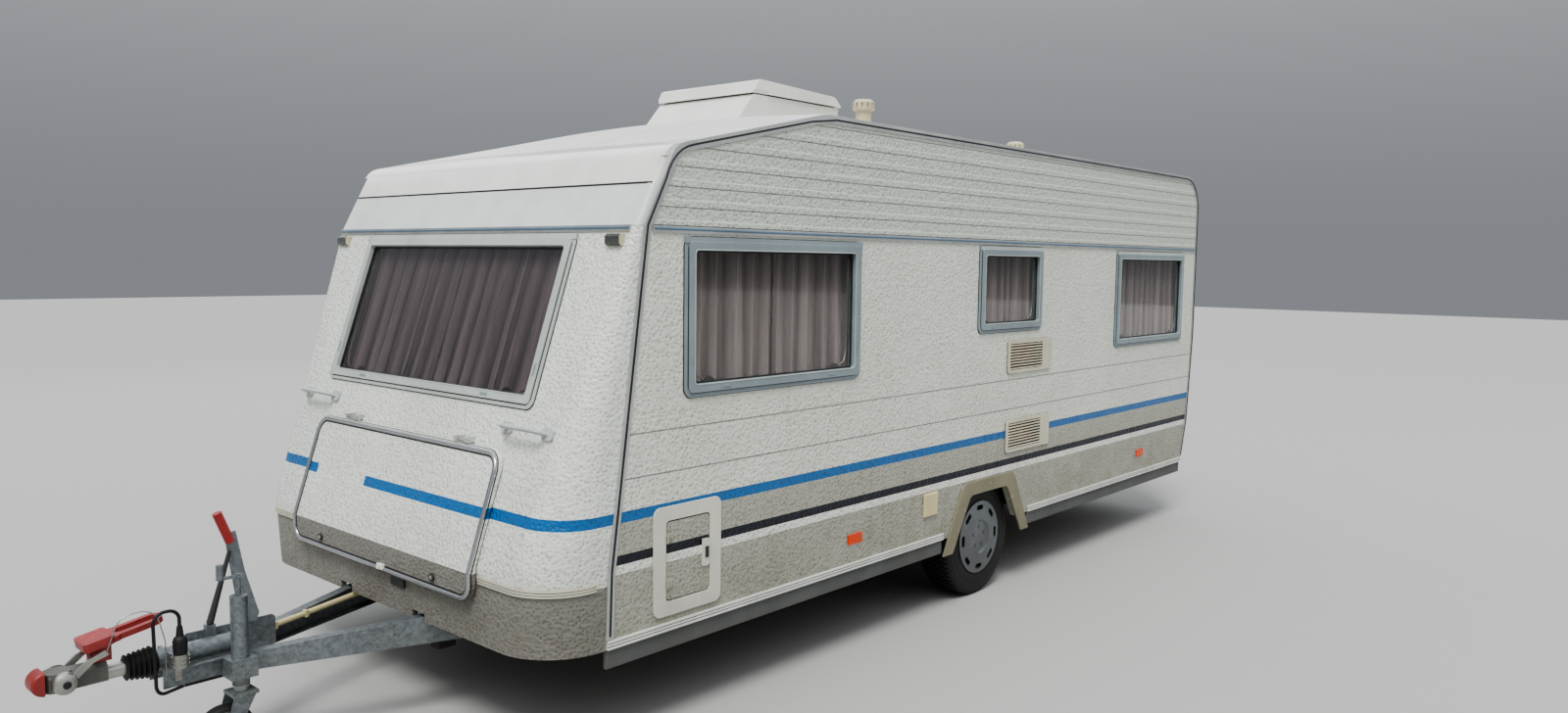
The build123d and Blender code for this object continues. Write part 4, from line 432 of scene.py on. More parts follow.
def sheet_finish(name, field, bands, dirty, streaks=0.4, skirt_and_shade_top=None, bare=None, ribs_from=WAIST):
    made, tree, shader = new_material(name)
    _, axes = object_place(tree)
    pattern = group_of(tree, "pressed sheet", {"Ribs From": ribs_from})
    surface = group_of(tree, "grain and cloud", {"Cloud Scale": 2.2})
    field = mixed(tree, ramped(tree, surface["Cloud"], 0.3, 0.7, 0.0, 0.22), field, SHADE_GREY)
    paint = banded(tree, field, bands)
    if bare:
        paint = mixed(tree, only_between(tree, axes["Y"], *bare), paint, field)
    # grey up to a height: the front panel's real skirt, and painted shade on the locker lid
    if skirt_and_shade_top:
        paint = banded(tree, paint, [(0.0, skirt_and_shade_top, SKIRT_GREY_AND_LID_SHADE)])
    # painted highlight and painted shade on the band edges, then painted shade in the dents
    paint = mixed(tree, sum_of(tree, "MULTIPLY", pattern["Lit Edge"], 0.6), paint, RIB_LIT)
    paint = mixed(tree, sum_of(tree, "MULTIPLY", pattern["Shaded Edge"], 0.4), paint, RIB_SHADED)
    paint = mixed(tree, sum_of(tree, "MULTIPLY", pattern["Pits"], 0.62), paint, DENT_SHADE_GREY, "MULTIPLY")
    weather = group_of(tree, "road dirt", {
        "Foot": 0.36, "Top": 1.10, "Amount": dirty, "Streaks": streaks})["Mask"]
    low_down = ramped(tree, axes["Z"], 0.86, 0.80, 0.0, 1.2)
    weather = sum_of(tree, "MULTIPLY", weather, sum_of(tree, "ADD", 0.75, low_down))
    soiled = sum_of(tree, "MULTIPLY", weather, 0.75)
    soiled.node.use_clamp = True
    tree.links.new(mixed(tree, soiled, paint, SOILED, "MULTIPLY"), shader.inputs["Base Color"])
    gloss = sum_of(tree, "ADD", 0.30, sum_of(tree, "MULTIPLY", weather, 0.4))
    tree.links.new(gloss, shader.inputs["Roughness"])
    bumped(tree, shader, pattern["Height"], 1.0, SHEET_RELIEF)
    return made


NO_RIBS = 9.0
STRIPE_GAP = (-0.600, -0.190)
side_sheet = sheet_finish("side sheet", CREAM, SIDE_BANDS, 0.34)
# the lid's grey from its bend down is painted shade; the front's grey skirt is paint
front_sheet, lid_sheet = [
    sheet_finish(name, FRONT_WHITE, FRONT_BANDS, 0.30, streaks=0.2, skirt_and_shade_top=skirt_and_shade_top, bare=STRIPE_GAP,
                 ribs_from=NO_RIBS)
    for name, skirt_and_shade_top in (("front sheet", 0.638), ("lid sheet", 0.668))]
roof_sheet = finish("roof sheet", colour(214, 215, 208), 0.4, cloud=0.05, streaks=0.3, foot=0.0, top=0.1,
                    bump=0.10, grain_scale=140.0, bump_depth=0.001)
band_sheet = finish("front band sheet", colour(208, 213, 206), 0.3, cloud=0.06, dirty=0.0, streaks=0.2)
print("sheets", side_sheet.name, front_sheet.name, lid_sheet.name, roof_sheet.name, band_sheet.name, sep=", ")

# %% [markdown]
# The rest of the palette: glossy white plastic on the roof, grey window frames, beige and
# dark plastics, aluminium, galvanised and plated steel, rubber and the coupling's red.

# %% Palette of the other finishes
white_gloss = finish("white laminate", colour(222, 222, 215), 0.22, coat=0.3, cloud=0.05, dirty=0.0,
                     streaks=0.16)
frame_grey = finish("window frame grey", colour(132, 144, 148), 0.42, cloud=0.08, dirty=0.1, streaks=0.25,
                    top=1.6)
front_frame_grey = finish("front frame grey", colour(174, 180, 174), 0.42, cloud=0.08, dirty=0.1,
                          streaks=0.25)
trim_metal = finish("trim aluminium", colour(196, 198, 196), 0.36, metal=0.75, cloud=0.10, streaks=0.25,
                    worn=0.5)
bright_metal = finish("bright trim", colour(184, 186, 188), 0.26, metal=0.9, cloud=0.06, streaks=0.15)
sill_white = finish("white sill trim", colour(214, 214, 207), 0.38, cloud=0.08, dirty=0.55, streaks=0.3,
                    top=0.55)
beige = finish("beige plastic", colour(130, 126, 103), 0.48, cloud=0.10, dirty=0.35, streaks=0.2)
trim_beige = finish("ribbed trim plastic", colour(196, 191, 174), 0.42, cloud=0.08, dirty=0.3, streaks=0.2)
cream_plastic = finish("cream plastic", colour(206, 194, 150), 0.4, cloud=0.06, dirty=0.2)
hatch_white = finish("hatch plastic", colour(204, 202, 190), 0.36, cloud=0.06, dirty=0.3, streaks=0.2)
sill_dark = finish("sill plastic", colour(86, 89, 89), 0.6, cloud=0.15, dirty=0.6, streaks=0.3, top=0.55)
dark_plastic = finish("dark plastic", colour(44, 46, 48), 0.5, cloud=0.1, dirty=0.15)
grip_grey = finish("grab handle plastic", colour(176, 180, 178), 0.4, cloud=0.06, dirty=0.1)
rubber = finish("rubber", colour(11, 11, 12), 0.62, cloud=0.2, dirty=0.05, grain_scale=260.0, bump=0.25,
                top=0.6)
seal = finish("window seal", colour(20, 21, 23), 0.5, cloud=0.1, dirty=0.05)
slate = finish("slate insert", colour(92, 116, 134), 0.4, cloud=0.08, dirty=0.05)
red_plastic = finish("red plastic", colour(142, 36, 36), 0.38, cloud=0.16, dirty=0.3, worn=0.5,
                     worn_colour=colour(196, 120, 108), top=0.8)
cast_grey = finish("cast steel", colour(112, 112, 110), 0.55, metal=0.5, cloud=0.3, grain_scale=420.0,
                   bump=0.5, worn=0.8, worn_colour=colour(150, 140, 128), dirty=0.4)
cover_silver = finish("cover lacquer", colour(120, 124, 128), 0.3, metal=0.85, cloud=0.12, dirty=0.2,
                      worn=0.3, worn_colour=colour(90, 92, 94), top=0.6)
rim_silver = finish("rim paint", colour(96, 98, 100), 0.45, metal=0.5, cloud=0.2, dirty=0.6, top=0.6)
zinc = finish("zinc plate", colour(186, 186, 180), 0.34, metal=0.9, cloud=0.2, worn=0.4,
              worn_colour=colour(120, 96, 76), dirty=0.3, top=0.8)
board = finish("floor board", colour(74, 58, 44), 0.7, cloud=0.2, dirty=0.5, top=0.6)
lamp_housing = finish("lamp housing", colour(196, 188, 158), 0.42, cloud=0.08)
print("finishes", len(bpy.data.materials))

# %% [markdown]
# The fridge vents are pale plates with slots. What lies a few millimetres behind their
# face gets painted shade, because the real slots look into the dark.

# %% Vent plastic
VENT_INSIDE, VENT_FACE = SIDE + 0.0015, SIDE + 0.0065


def vent_finish(name):
    made = finish(name, colour(196, 191, 170), 0.42, cloud=0.08, dirty=0.1, streaks=0.2)
    tree = made.node_tree
    from_middle = sum_of(tree, "ABSOLUTE", object_place(tree)[1]["Y"])
    # painted shade on all that lies near the wall, behind the vent's face
    return painted_over(made, ramped(tree, from_middle, VENT_INSIDE, VENT_FACE, 1.0, 0.0), colour(34, 31, 26))


vent_white = vent_finish("vent plastic")
print("vents are dark inside", VENT_INSIDE)

# %% [markdown]
# Hot-dip zinc freezes in flat crystals, a centimetre or two wide, each with its own
# grey. Voronoi cells with one value each are just that.

# %% Galvanised steel
SPANGLES_PER_METRE = 85.0


def spangles(tree):
    """Flat crystals, each with its own distance and colour."""
    values = {"Vector": object_place(tree)[0], "Scale": SPANGLES_PER_METRE}
    return add_node(tree, "ShaderNodeTexVoronoi", values=values).outputs


def galvanised_finish(name):
    made = finish(name, colour(112, 118, 122), 0.42, metal=0.7, cloud=0.12, dirty=0.4, streaks=0.3, worn=0.3,
                  worn_colour=colour(196, 200, 200), top=0.7, bump=0.12,
                  height=lambda tree: spangles(tree)["Distance"])
    tree = made.node_tree
    grey = add_node(tree, "ShaderNodeSeparateColor", values={"Color": spangles(tree)["Color"]}).outputs["Red"]
    return painted_over(made, sum_of(tree, "MULTIPLY", grey, 0.3), colour(170, 178, 182))


galvanised = galvanised_finish("galvanised steel")
print(galvanised.name, len(galvanised.node_tree.nodes), "nodes")

# %% [markdown]
# The windows are smoky acrylic. Clear pieces need light behind them to look right, and a
# solid shader would block the sun for the curtains, so shadow rays pass it as through
# tinted foil. The lamp lenses are the same with their own colours and a ribbed inside.
# The front panes are the same acrylic painted darker, a painted reflection of the dark
# surroundings that the raked front glass mirrors.

# %% Acrylic and lenses
def clear_finish(name, tint, rough, shadow, ribs=0.0, clear=1.0):
    made, tree, shader = new_material(name)
    surface = group_of(tree, "grain and cloud", {"Cloud Scale": 3.0})
    tree.links.new(mixed(tree, surface["Cloud"], tint, scaled(tint, 1.12)), shader.inputs["Base Color"])
    shader.inputs["Transmission Weight"].default_value = clear
    shader.inputs["IOR"].default_value = 1.49
    gloss = sum_of(tree, "ADD", rough, sum_of(tree, "MULTIPLY", surface["Cloud"], 0.03))
    tree.links.new(gloss, shader.inputs["Roughness"])
    if ribs:
        prisms = add_node(tree, "ShaderNodeTexWave", {"bands_direction": "DIAGONAL"},
                          {"Vector": object_place(tree)[0], "Scale": ribs})
        bumped(tree, shader, prisms.outputs["Fac"], 0.4, 0.001)
    passing = add_node(tree, "ShaderNodeBsdfTransparent", values={"Color": (shadow, shadow, shadow, 1.0)})
    choice = tree.nodes.new("ShaderNodeMixShader")
    light_path = tree.nodes.new("ShaderNodeLightPath").outputs
    for index, source in enumerate((light_path["Is Shadow Ray"], shader.outputs[0], passing.outputs[0])):
        tree.links.new(source, choice.inputs[index])
    tree.links.new(choice.outputs[0], tree.nodes["Material Output"].inputs["Surface"])
    return made


acrylic = clear_finish("smoky acrylic", colour(212, 207, 204), 0.015, 0.74)
# the front panes' darker tint is a painted reflection of dark surroundings
front_acrylic = clear_finish("dark acrylic", colour(172, 164, 166), 0.015, 0.5)
LENS_RIBS = 300.0
amber = clear_finish("amber lens", colour(226, 70, 8), 0.08, 0.6, LENS_RIBS, 0.2)
red_lens = clear_finish("red lens", colour(186, 24, 22), 0.08, 0.5, LENS_RIBS, 0.3)
clear_lens = clear_finish("clear lens", colour(226, 226, 220), 0.06, 0.8, LENS_RIBS, 0.6)
smoked_lens = clear_finish("smoked lens", colour(74, 76, 74), 0.06, 0.5, LENS_RIBS, 0.4)
print("clear finishes", [m.name for m in (acrylic, front_acrylic, amber, red_lens, clear_lens, smoked_lens)])

# %% [markdown]
# Cloth shows its weave at close range and its folds from afar. The curtains are sheer, so
# part of the light passes through them, and the cushions have a coarse plain weave.

# %% Cloth
def weave_height(tree, scale):
    """Threads over and under, from two waves that cross."""
    where = tree.nodes.new("ShaderNodeTexCoord").outputs["UV"]
    threads = []
    for way in "XY":
        wave = add_node(tree, "ShaderNodeTexWave", {"bands_direction": way}, {
            "Vector": where, "Scale": scale})
        threads.append(wave.outputs["Fac"])
    return sum_of(tree, "MAXIMUM", *threads)


def cloth_finish(name, base, scale, thin=0.0):
    made, tree, shader = new_material(name)
    weave = weave_height(tree, scale)
    surface = group_of(tree, "grain and cloud", {"Cloud Scale": 9.0})
    deep = scaled(base, 0.72)
    thread = mixed(tree, sum_of(tree, "MULTIPLY", weave, 0.6), deep, base)
    shaded = mixed(tree, sum_of(tree, "MULTIPLY", surface["Cloud"], 0.3), thread, deep)
    if thin:
        # painted shade: points deep in the folds, away from the glass, are darkened
        fold = add_node(tree, "ShaderNodeAttribute", {"attribute_name": "fold"}).outputs["Fac"]
        shaded = mixed(tree, ramped(tree, fold, 0.80, 0.26), shaded, scaled(base, 0.13))
        cover = sum_of(tree, "ADD", 1 - thin, sum_of(tree, "MULTIPLY", weave, thin * 0.5))
        tree.links.new(cover, shader.inputs["Alpha"])
    tree.links.new(shaded, shader.inputs["Base Color"])
    shader.inputs["Roughness"].default_value = 0.9
    shader.inputs["Sheen Weight"].default_value = 0.3
    bumped(tree, shader, weave, 0.4, 0.0008)
    return made


curtain_cloth = cloth_finish("curtain cloth", colour(206, 198, 197), 260.0, 0.12)
seat_cloth = cloth_finish("seat cloth", colour(120, 104, 92), 180.0)
print("cloth", curtain_cloth.name, seat_cloth.name, sep=", ")

# %% [markdown]
# The furniture is board with a printed wood foil. Stretched noise gives the figure.

# %% Wood foil
def wood_finish(name):
    made = finish(name, colour(168, 132, 92), 0.42, cloud=0.12, dirty=0.0, streaks=0.0)
    tree = made.node_tree
    figure = noise_of(tree, stretched(tree, object_place(tree)[0], (3.0, 26.0, 26.0)), 1.0, 6.0, 0.6)
    return painted_over(made, ramped(tree, figure, 0.4, 0.7), colour(122, 84, 52))


wood_foil = wood_finish("wood foil")
print("materials", len(bpy.data.materials))

# %% [markdown]
# Sheet, plastic and castings never meet in a razor edge. Each CAD node is copied, its
# loose triangles are merged back into faces, and a small bevel rounds what is sharp, so
# edges catch the light. The copy then stands for the node and rides on the same body.

# %% Merged copies and how a piece joins the scene
MERGE_WITHIN = 1e-5
FLAT_WITHIN = math.radians(0.2)


def merged_copy(node):
    """A node's mesh as joined faces."""
    mesh = frame["nodes"][node].data.copy()
    work = bmesh.new()
    work.from_mesh(mesh)
    bmesh.ops.remove_doubles(work, verts=work.verts, dist=MERGE_WITHIN)
    bmesh.ops.dissolve_limit(work, angle_limit=FLAT_WITHIN, verts=work.verts, edges=work.edges)
    work.to_mesh(mesh)
    work.free()
    mesh.materials.clear()
    return mesh


def linked(name, data):
    """An object in the scene."""
    made = bpy.data.objects.new(name, data)
    bpy.context.scene.collection.objects.link(made)
    return made


def put_in_scene(name, mesh, material, body):
    """A piece that rides on a body."""
    if material:
        mesh.materials.append(material)
    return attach(linked(name, mesh), body)


# %% [markdown]
# The table names each node's finish and how wide its bevel is. Large sheets keep their
# edges, since strips and seals cover them on the real body.

# %% Dress the CAD nodes
ROUND_STEPS = 2
SHARP_FROM = math.radians(32)


def dressed(node, material, bevel):
    mesh = merged_copy(node)
    piece = put_in_scene(node + "_dressed", mesh, material, frame["nodes"][node]["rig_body"])
    mesh.shade_smooth()
    mesh.set_sharp_from_angle(angle=SHARP_FROM)
    if bevel:
        rounding = piece.modifiers.new("rounded edges", "BEVEL")
        rounding.width = bevel
        rounding.segments = ROUND_STEPS
        rounding.limit_method = "ANGLE"
        rounding.angle_limit = SHARP_FROM
        rounding.harden_normals = True
    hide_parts(node)
    return piece


# node, material, bevel width in metres (0 keeps the edges)
DRESSING = [
    ("side_wall_left", side_sheet, 0), ("side_wall_right", side_sheet, 0),
    ("front_panel", front_sheet, 0), ("front_band", band_sheet, 0), ("rear_wall", side_sheet, 0),
    ("roof", roof_sheet, 0), ("front_cap", white_gloss, 0.004), ("hood_trunk", white_gloss, 0.003),
    ("hood_lid", white_gloss, 0.006), ("roof_vents", lamp_housing, 0.002),
    ("fridge_vents", vent_white, 0.0006), ("hatch_frame", hatch_white, 0.002),
    ("hatch_door", side_sheet, 0.002),
    ("entrance_door", side_sheet, 0.002), ("door_frame", trim_metal, 0.001),
    ("locker_lid", lid_sheet, 0.004), ("locker_seat", seal, 0.001), ("locker_box", board, 0.001),
    ("arch_trims", beige, 0.004), ("edge_trims", trim_metal, 0.0012), ("sill_trims", sill_white, 0.001),
    ("sill_skirts", sill_dark, 0.003), ("rear_lamps", dark_plastic, 0.004), ("side_lamps", amber, 0.003),
    ("power_inlet", cream_plastic, 0.003), ("grab_handles", grip_grey, 0), ("floor", board, 0.001),
    ("drawbar_beams", galvanised, 0.003), ("chassis_frame", galvanised, 0.002), ("axle", galvanised, 0.002),
    ("steady_brackets", galvanised, 0.001), ("steady_front_left", galvanised, 0.001),
    ("steady_front_right", galvanised, 0.001), ("steady_rear_left", galvanised, 0.001),
    ("steady_rear_right", galvanised, 0.001), ("overrun_housing", galvanised, 0.002),
    ("bellows", rubber, 0.001), ("coupling_head", cast_grey, 0.002), ("friction_pads", zinc, 0.001),
    ("coupling_handle", red_plastic, 0.004), ("handbrake_lever", galvanised, 0.0012),
    ("jockey_tube", galvanised, 0.001), ("jockey_inner_tube", zinc, 0.001),
    ("jockey_fork", galvanised, 0.001), ("jockey_wheel", rubber, 0.002), ("rim_left", rim_silver, 0.001),
    ("rim_right", rim_silver, 0.001), ("wheel_cover_left", cover_silver, 0.0015),
    ("wheel_cover_right", cover_silver, 0.0015), ("furniture", wood_foil, 0.001),
    ("window_frames", frame_grey, 0.0025), ("window_panes", acrylic, 0.001), ("door_pane", acrylic, 0.002),
    ("front_corner_trims", trim_beige, 0.0008), ("plug_and_lead", rubber, 0.001),
    ("drawbar_pipe", cream_plastic, 0.0008),
]
dressing = {node: dressed(node, material, bevel) for node, material, bevel in DRESSING}
print("dressed", len(dressing), "of", len(frame["nodes"]), "nodes")

# %% [markdown]
# One merged node can carry two finishes: the front window's frame is paler than the side
# ones, and the side lamps are two front markers in a beige housing and four amber
# reflectors. Faces are sorted by where they lie.

# %% Second finishes of the body
def repaint(node, material, chosen):
    """Gives the faces whose centre and normal pass the test another material."""
    mesh = dressing[node].data
    mesh.materials.append(material)
    faces = [face for face in mesh.polygons if chosen(face.center, face.normal)]
    for face in faces:
        face.material_index = len(mesh.materials) - 1
    return len(faces)


FRONT_EDGE = at(-0.1, 0, 0).x
LAMP_LINE = at(0.0, 0, 0).x
RAIL_FOOT, RAIL_FACE = 1.9005, SIDE + 0.0082
SILL_GROOVE = SIDE + 0.005
CORNER_GROOVE, GROOVES_PER_METRE, BRACKET_TOP = 0.630, 100, 0.55
SEAT_EAR_FROM, SEAT_EAR_FOOT = 0.43, 1.1


def in_corner_groove(c, n):
    """Between two ribs of a front corner trim."""
    count = (c.z - CORNER_GROOVE) * GROOVES_PER_METRE
    return c.z > CORNER_GROOVE - 0.01 and abs(n.z) < 0.3 and abs(count - round(count)) < 0.12


def in_sill_groove(c, n):
    return abs(abs(c.y) - SILL_GROOVE) < 0.0004 and abs(n.y) > 0.9


def on_seat_ear(c, n):
    """The hinge ears of the locker's seat."""
    return 0.02 < abs(abs(c.y) - SEAT_EAR_FROM) < 0.048 and c.z > SEAT_EAR_FOOT


repainted = [
    repaint("window_frames", front_frame_grey, lambda c, n: c.x > FRONT_EDGE),
    # front panes: acrylic painted darker, a painted reflection of dark surroundings
    repaint("window_panes", front_acrylic, lambda c, n: c.x > FRONT_EDGE),
    # painted shade in the grooves of the sill trims and between the ribs of the front corner trims
    repaint("sill_trims", dark_plastic, in_sill_groove),
    repaint("front_corner_trims", dark_plastic, in_corner_groove),
    repaint("locker_seat", trim_metal, on_seat_ear),
    repaint("side_lamps", lamp_housing, lambda c, n: c.x > LAMP_LINE and abs(n.x) < 0.7),
    repaint("side_lamps", smoked_lens, lambda c, n: c.x > LAMP_LINE and abs(n.x) >= 0.7),
    repaint("window_frames", front_frame_grey, lambda c, n: c.z > RAIL_FOOT and abs(c.y) > RAIL_FACE),
    repaint("front_corner_trims", dark_plastic, lambda c, n: c.z < BRACKET_TOP),
]
print("repainted faces of the body", repainted)

# %% [markdown]
# On the drawbar the handbrake lever has a red grip and a dark gas strut, the jockey wheel
# a steel hub, the coupling a plated tube, and the lead's plug sits in a plated holder.

# %% Second finishes of the drawbar
GRIP_FOOT, GRIP_MIDDLE, GRIP_REACH = 0.745, (1.05, 0.82), 0.085
STRUT_TOP, STRUT_FOOT, STRUT_RADIUS, STRUT_FAR_SIDE = at(1.034, 0, 0.730), at(1.112, 0, 0.470), 0.0135, -0.052
STRUT_WAY = (STRUT_FOOT - STRUT_TOP).normalized()
HEAD_FRONT = at(1.47, 0, 0).x
JOCKEY_HUB, HUB_RADIUS = at(1.132, 0.122, 0.105), 0.075
HOLDER, HOLDER_REACH, HOLDER_TOP = at(1.262, 0.096, 0.404), 0.055, 0.4285
HOLDER_FOOT_SIDE, HOLDER_FOOT_TOP, HOLDER_REAR = 0.0725, 0.43, at(1.24, 0, 0).x
WIRE_REAR, WIRE_SIDE, WIRE_FOOT = at(1.292, 0, 0).x, 0.09, 0.335


def on_grip(c, n):
    return c.z > GRIP_FOOT and (c - at(GRIP_MIDDLE[0], c.y, GRIP_MIDDLE[1])).length < GRIP_REACH


def on_strut(c, n):
    """Near the axis of the gas strut, seen from the side."""
    reach = Vector((c.x, 0, c.z)) - Vector((STRUT_TOP.x, 0, STRUT_TOP.z))
    off_axis = (reach - STRUT_WAY * reach.dot(STRUT_WAY)).length
    return off_axis < STRUT_RADIUS and c.z < GRIP_FOOT and c.y > STRUT_FAR_SIDE


def on_holder(c, n):
    """The plated clip round the plug, or its foot on the beam."""
    clip = (c - HOLDER).length < HOLDER_REACH and c.z < HOLDER_TOP
    foot = c.y < HOLDER_FOOT_SIDE and c.z < HOLDER_FOOT_TOP and c.x > HOLDER_REAR
    return clip or foot


def on_wire(c, n):
    return c.x > WIRE_REAR and c.y < WIRE_SIDE and c.z > WIRE_FOOT


def on_hub(c, n):
    return math.hypot(c.x - JOCKEY_HUB.x, c.z - JOCKEY_HUB.z) < HUB_RADIUS


repainted = [
    repaint("handbrake_lever", red_plastic, on_grip),
    repaint("handbrake_lever", dark_plastic, on_strut),
    repaint("coupling_head", zinc, lambda c, n: c.x < HEAD_FRONT),
    repaint("jockey_wheel", rim_silver, on_hub),
    repaint("plug_and_lead", zinc, on_holder),
    repaint("plug_and_lead", zinc, on_wire),
]
print("repainted faces of the drawbar", repainted)

# %% [markdown]
# The hatch and the door are cut from the same sheet as the walls, and only their latch
# and handle are moulded. Both stand out from the sheet, so a box round them is enough.

# %% Latch and handle
HATCH_LATCH, DOOR_HANDLE = at(-0.3275, SIDE + 0.009, 0.6745), at(-1.93, -SIDE, 1.14)


def in_box(c, middle, half_length, half_height):
    return abs(c.x - middle.x) < half_length and abs(c.z - middle.z) < half_height


repainted = [
    repaint("hatch_door", hatch_white,
            lambda c, n: in_box(c, HATCH_LATCH, 0.026, 0.058) and c.y > SIDE + 0.0062),
    repaint("entrance_door", dark_plastic,
            lambda c, n: in_box(c, DOOR_HANDLE, 0.05, 0.09) and c.y < -SIDE - 0.0065),
]
print("repainted faces of latch and handle", repainted)

# %% [markdown]
# Many details are one small shape copied to many places: screws, catches, wheel nuts,
# tread blocks. A Geometry Nodes tree puts a shape on every point of a cloud, turned as
# the point says, so a new place is only a new row in a list.

# %% Two trees: copies on points, and a bead along paths
def new_geometry_tree(name, inputs, output):
    """A geometry tree with named inputs; returns it, its inputs and the socket it ends in."""
    tree = bpy.data.node_groups.new(name, "GeometryNodeTree")
    for label, kind, value in inputs:
        socket = tree.interface.new_socket(name=label, in_out="INPUT", socket_type="NodeSocket" + kind)
        if value is not None:
            socket.default_value = value
    tree.interface.new_socket(name=output, in_out="OUTPUT", socket_type="NodeSocketGeometry")
    return tree, tree.nodes.new("NodeGroupInput").outputs, tree.nodes.new("NodeGroupOutput").inputs[0]


def finish_tree(tree, geometry, given, result):
    """Ends a tree: copies become real faces with one finish."""
    real = add_node(tree, "GeometryNodeRealizeInstances", values={"Geometry": geometry})
    painted = add_node(tree, "GeometryNodeSetMaterial", values={
        "Geometry": real.outputs[0], "Material": given["Finish"]})
    tree.links.new(painted.outputs[0], result)
    return tree


def copies_tree():
    """A shape on every point, turned as the point says."""
    tree, given, result = new_geometry_tree("copies on points", [
        ("Points", "Geometry", None), ("Shape", "Object", None), ("Size", "Float", 1.0),
        ("Finish", "Material", None)], "Copies")
    shape = add_node(tree, "GeometryNodeObjectInfo", {"transform_space": "ORIGINAL"}, {
        "Object": given["Shape"]})
    turn = add_node(tree, "GeometryNodeInputNamedAttribute", {"data_type": "FLOAT_VECTOR"}, {"Name": "turn"})
    rotation = tree.nodes.new("FunctionNodeEulerToRotation")
    tree.links.new(turn.outputs[0], rotation.inputs[0])
    placed = add_node(tree, "GeometryNodeInstanceOnPoints", values={
        "Points": given["Points"], "Instance": shape.outputs["Geometry"], "Rotation": rotation.outputs[0],
        "Scale": given["Size"]})
    return finish_tree(tree, placed.outputs[0], given, result)


def bead_tree():
    """A round bead that follows every edge path."""
    tree, given, result = new_geometry_tree("bead along paths", [
        ("Paths", "Geometry", None), ("Radius", "Float", 0.003), ("Sides", "Int", 8),
        ("Finish", "Material", None)], "Bead")
    lines = add_node(tree, "GeometryNodeMeshToCurve", values={"Mesh": given["Paths"]})
    ring = add_node(tree, "GeometryNodeCurvePrimitiveCircle", values={
        "Resolution": given["Sides"], "Radius": given["Radius"]})
    tube = add_node(tree, "GeometryNodeCurveToMesh", values={
        "Curve": lines.outputs[0], "Profile Curve": ring.outputs[0], "Fill Caps": True})
    smooth = add_node(tree, "GeometryNodeSetShadeSmooth", values={"Geometry": tube.outputs[0]})
    return finish_tree(tree, smooth.outputs[0], given, result)


COPIES = copies_tree()
BEADS = bead_tree()
print("trees ready", COPIES.name, BEADS.name, sep=", ")

# %% [markdown]
# The trees run on a small mesh that holds only points or edges. Each input is set by its
# socket's identifier, the evaluated result becomes a plain mesh, and the seed goes.

# %% Running the trees
def grown(name, mesh, tree, values, body):
    """Runs a tree on a mesh and keeps the result as a plain piece."""
    seed = linked(name + "_seed", mesh)
    modifier = seed.modifiers.new("grow", "NODES")
    modifier.node_group = tree
    for item in tree.interface.items_tree:
        if item.in_out == "INPUT" and item.name in values:
            modifier[item.identifier] = values[item.name]
    graph = bpy.context.evaluated_depsgraph_get()
    result = bpy.data.meshes.new_from_object(seed.evaluated_get(graph))
    bpy.data.objects.remove(seed)
    if not result.materials:
        result.materials.append(values["Finish"])
    return put_in_scene(name, result, None, body)


def copied(name, shape, places, finish_used, body="root", size=1.0):
    """Copies of a shape; each place is a matrix."""
    mesh = bpy.data.meshes.new(name)
    mesh.from_pydata([tuple(m.to_translation()) for m in places], [], [])
    turns = mesh.attributes.new("turn", "FLOAT_VECTOR", "POINT")
    turns.data.foreach_set("vector", [v for m in places for v in m.to_euler()])
    return grown(name, mesh, COPIES, {"Shape": shape, "Size": size, "Finish": finish_used}, body)


def beaded(name, paths, radius, finish_used, body="root", sides=8):
    """A bead along each path; a path is (points, closed)."""
    points, edges = [], []
    for path, closed in paths:
        first = len(points)
        points += [tuple(p) for p in path]
        edges += [(first + i, first + i + 1) for i in range(len(path) - 1)]
        if closed:
            edges.append((len(points) - 1, first))
    mesh = bpy.data.meshes.new(name)
    mesh.from_pydata(points, edges, [])
    return grown(name, mesh, BEADS, {"Radius": radius, "Sides": sides, "Finish": finish_used}, body)


print("inputs", [item.name for item in COPIES.interface.items_tree if item.in_out == "INPUT"])

# %% [markdown]
# The shapes to copy are drawn once, with z pointing away from the surface they sit on.

# %% Small shapes and their places
UP = Vector((0, 0, 1))


def mesh_of(name, build):
    """A mesh drawn by a function, its faces turned outwards."""
    mesh = bpy.data.meshes.new(name)
    work = bmesh.new()
    build(work)
    bmesh.ops.recalc_face_normals(work, faces=work.faces)
    work.to_mesh(mesh)
    work.free()
    return mesh


def shape_object(name, build):
    """A small object kept out of the scene, for the trees to copy."""
    return bpy.data.objects.new(name, mesh_of(name, build))


def walled(work, low, high):
    """Side faces between two rings of points."""
    for i in range(len(low)):
        j = (i + 1) % len(low)
        work.faces.new((low[i], low[j], high[j], high[i]))


def facing(point, outward):
    """A place whose z looks outward and whose y looks up along the surface."""
    z = Vector(outward).normalized()
    x = UP.cross(z).normalized()
    y = z.cross(x)
    return Matrix.Translation(point) @ Matrix((x, y, z)).transposed().to_4x4()


def pan_head(work, radius, height, sides):
    """Domed head of a screw or a cap."""
    rings = [(radius, 0.0), (radius, height * 0.4), (radius * 0.75, height * 0.85), (radius * 0.35, height)]
    loops = [[work.verts.new((r * math.cos(math.tau * i / sides), r * math.sin(math.tau * i / sides), z))
              for i in range(sides)] for r, z in rings]
    for low, high in zip(loops, loops[1:]):
        walled(work, low, high)
    work.faces.new(loops[-1])


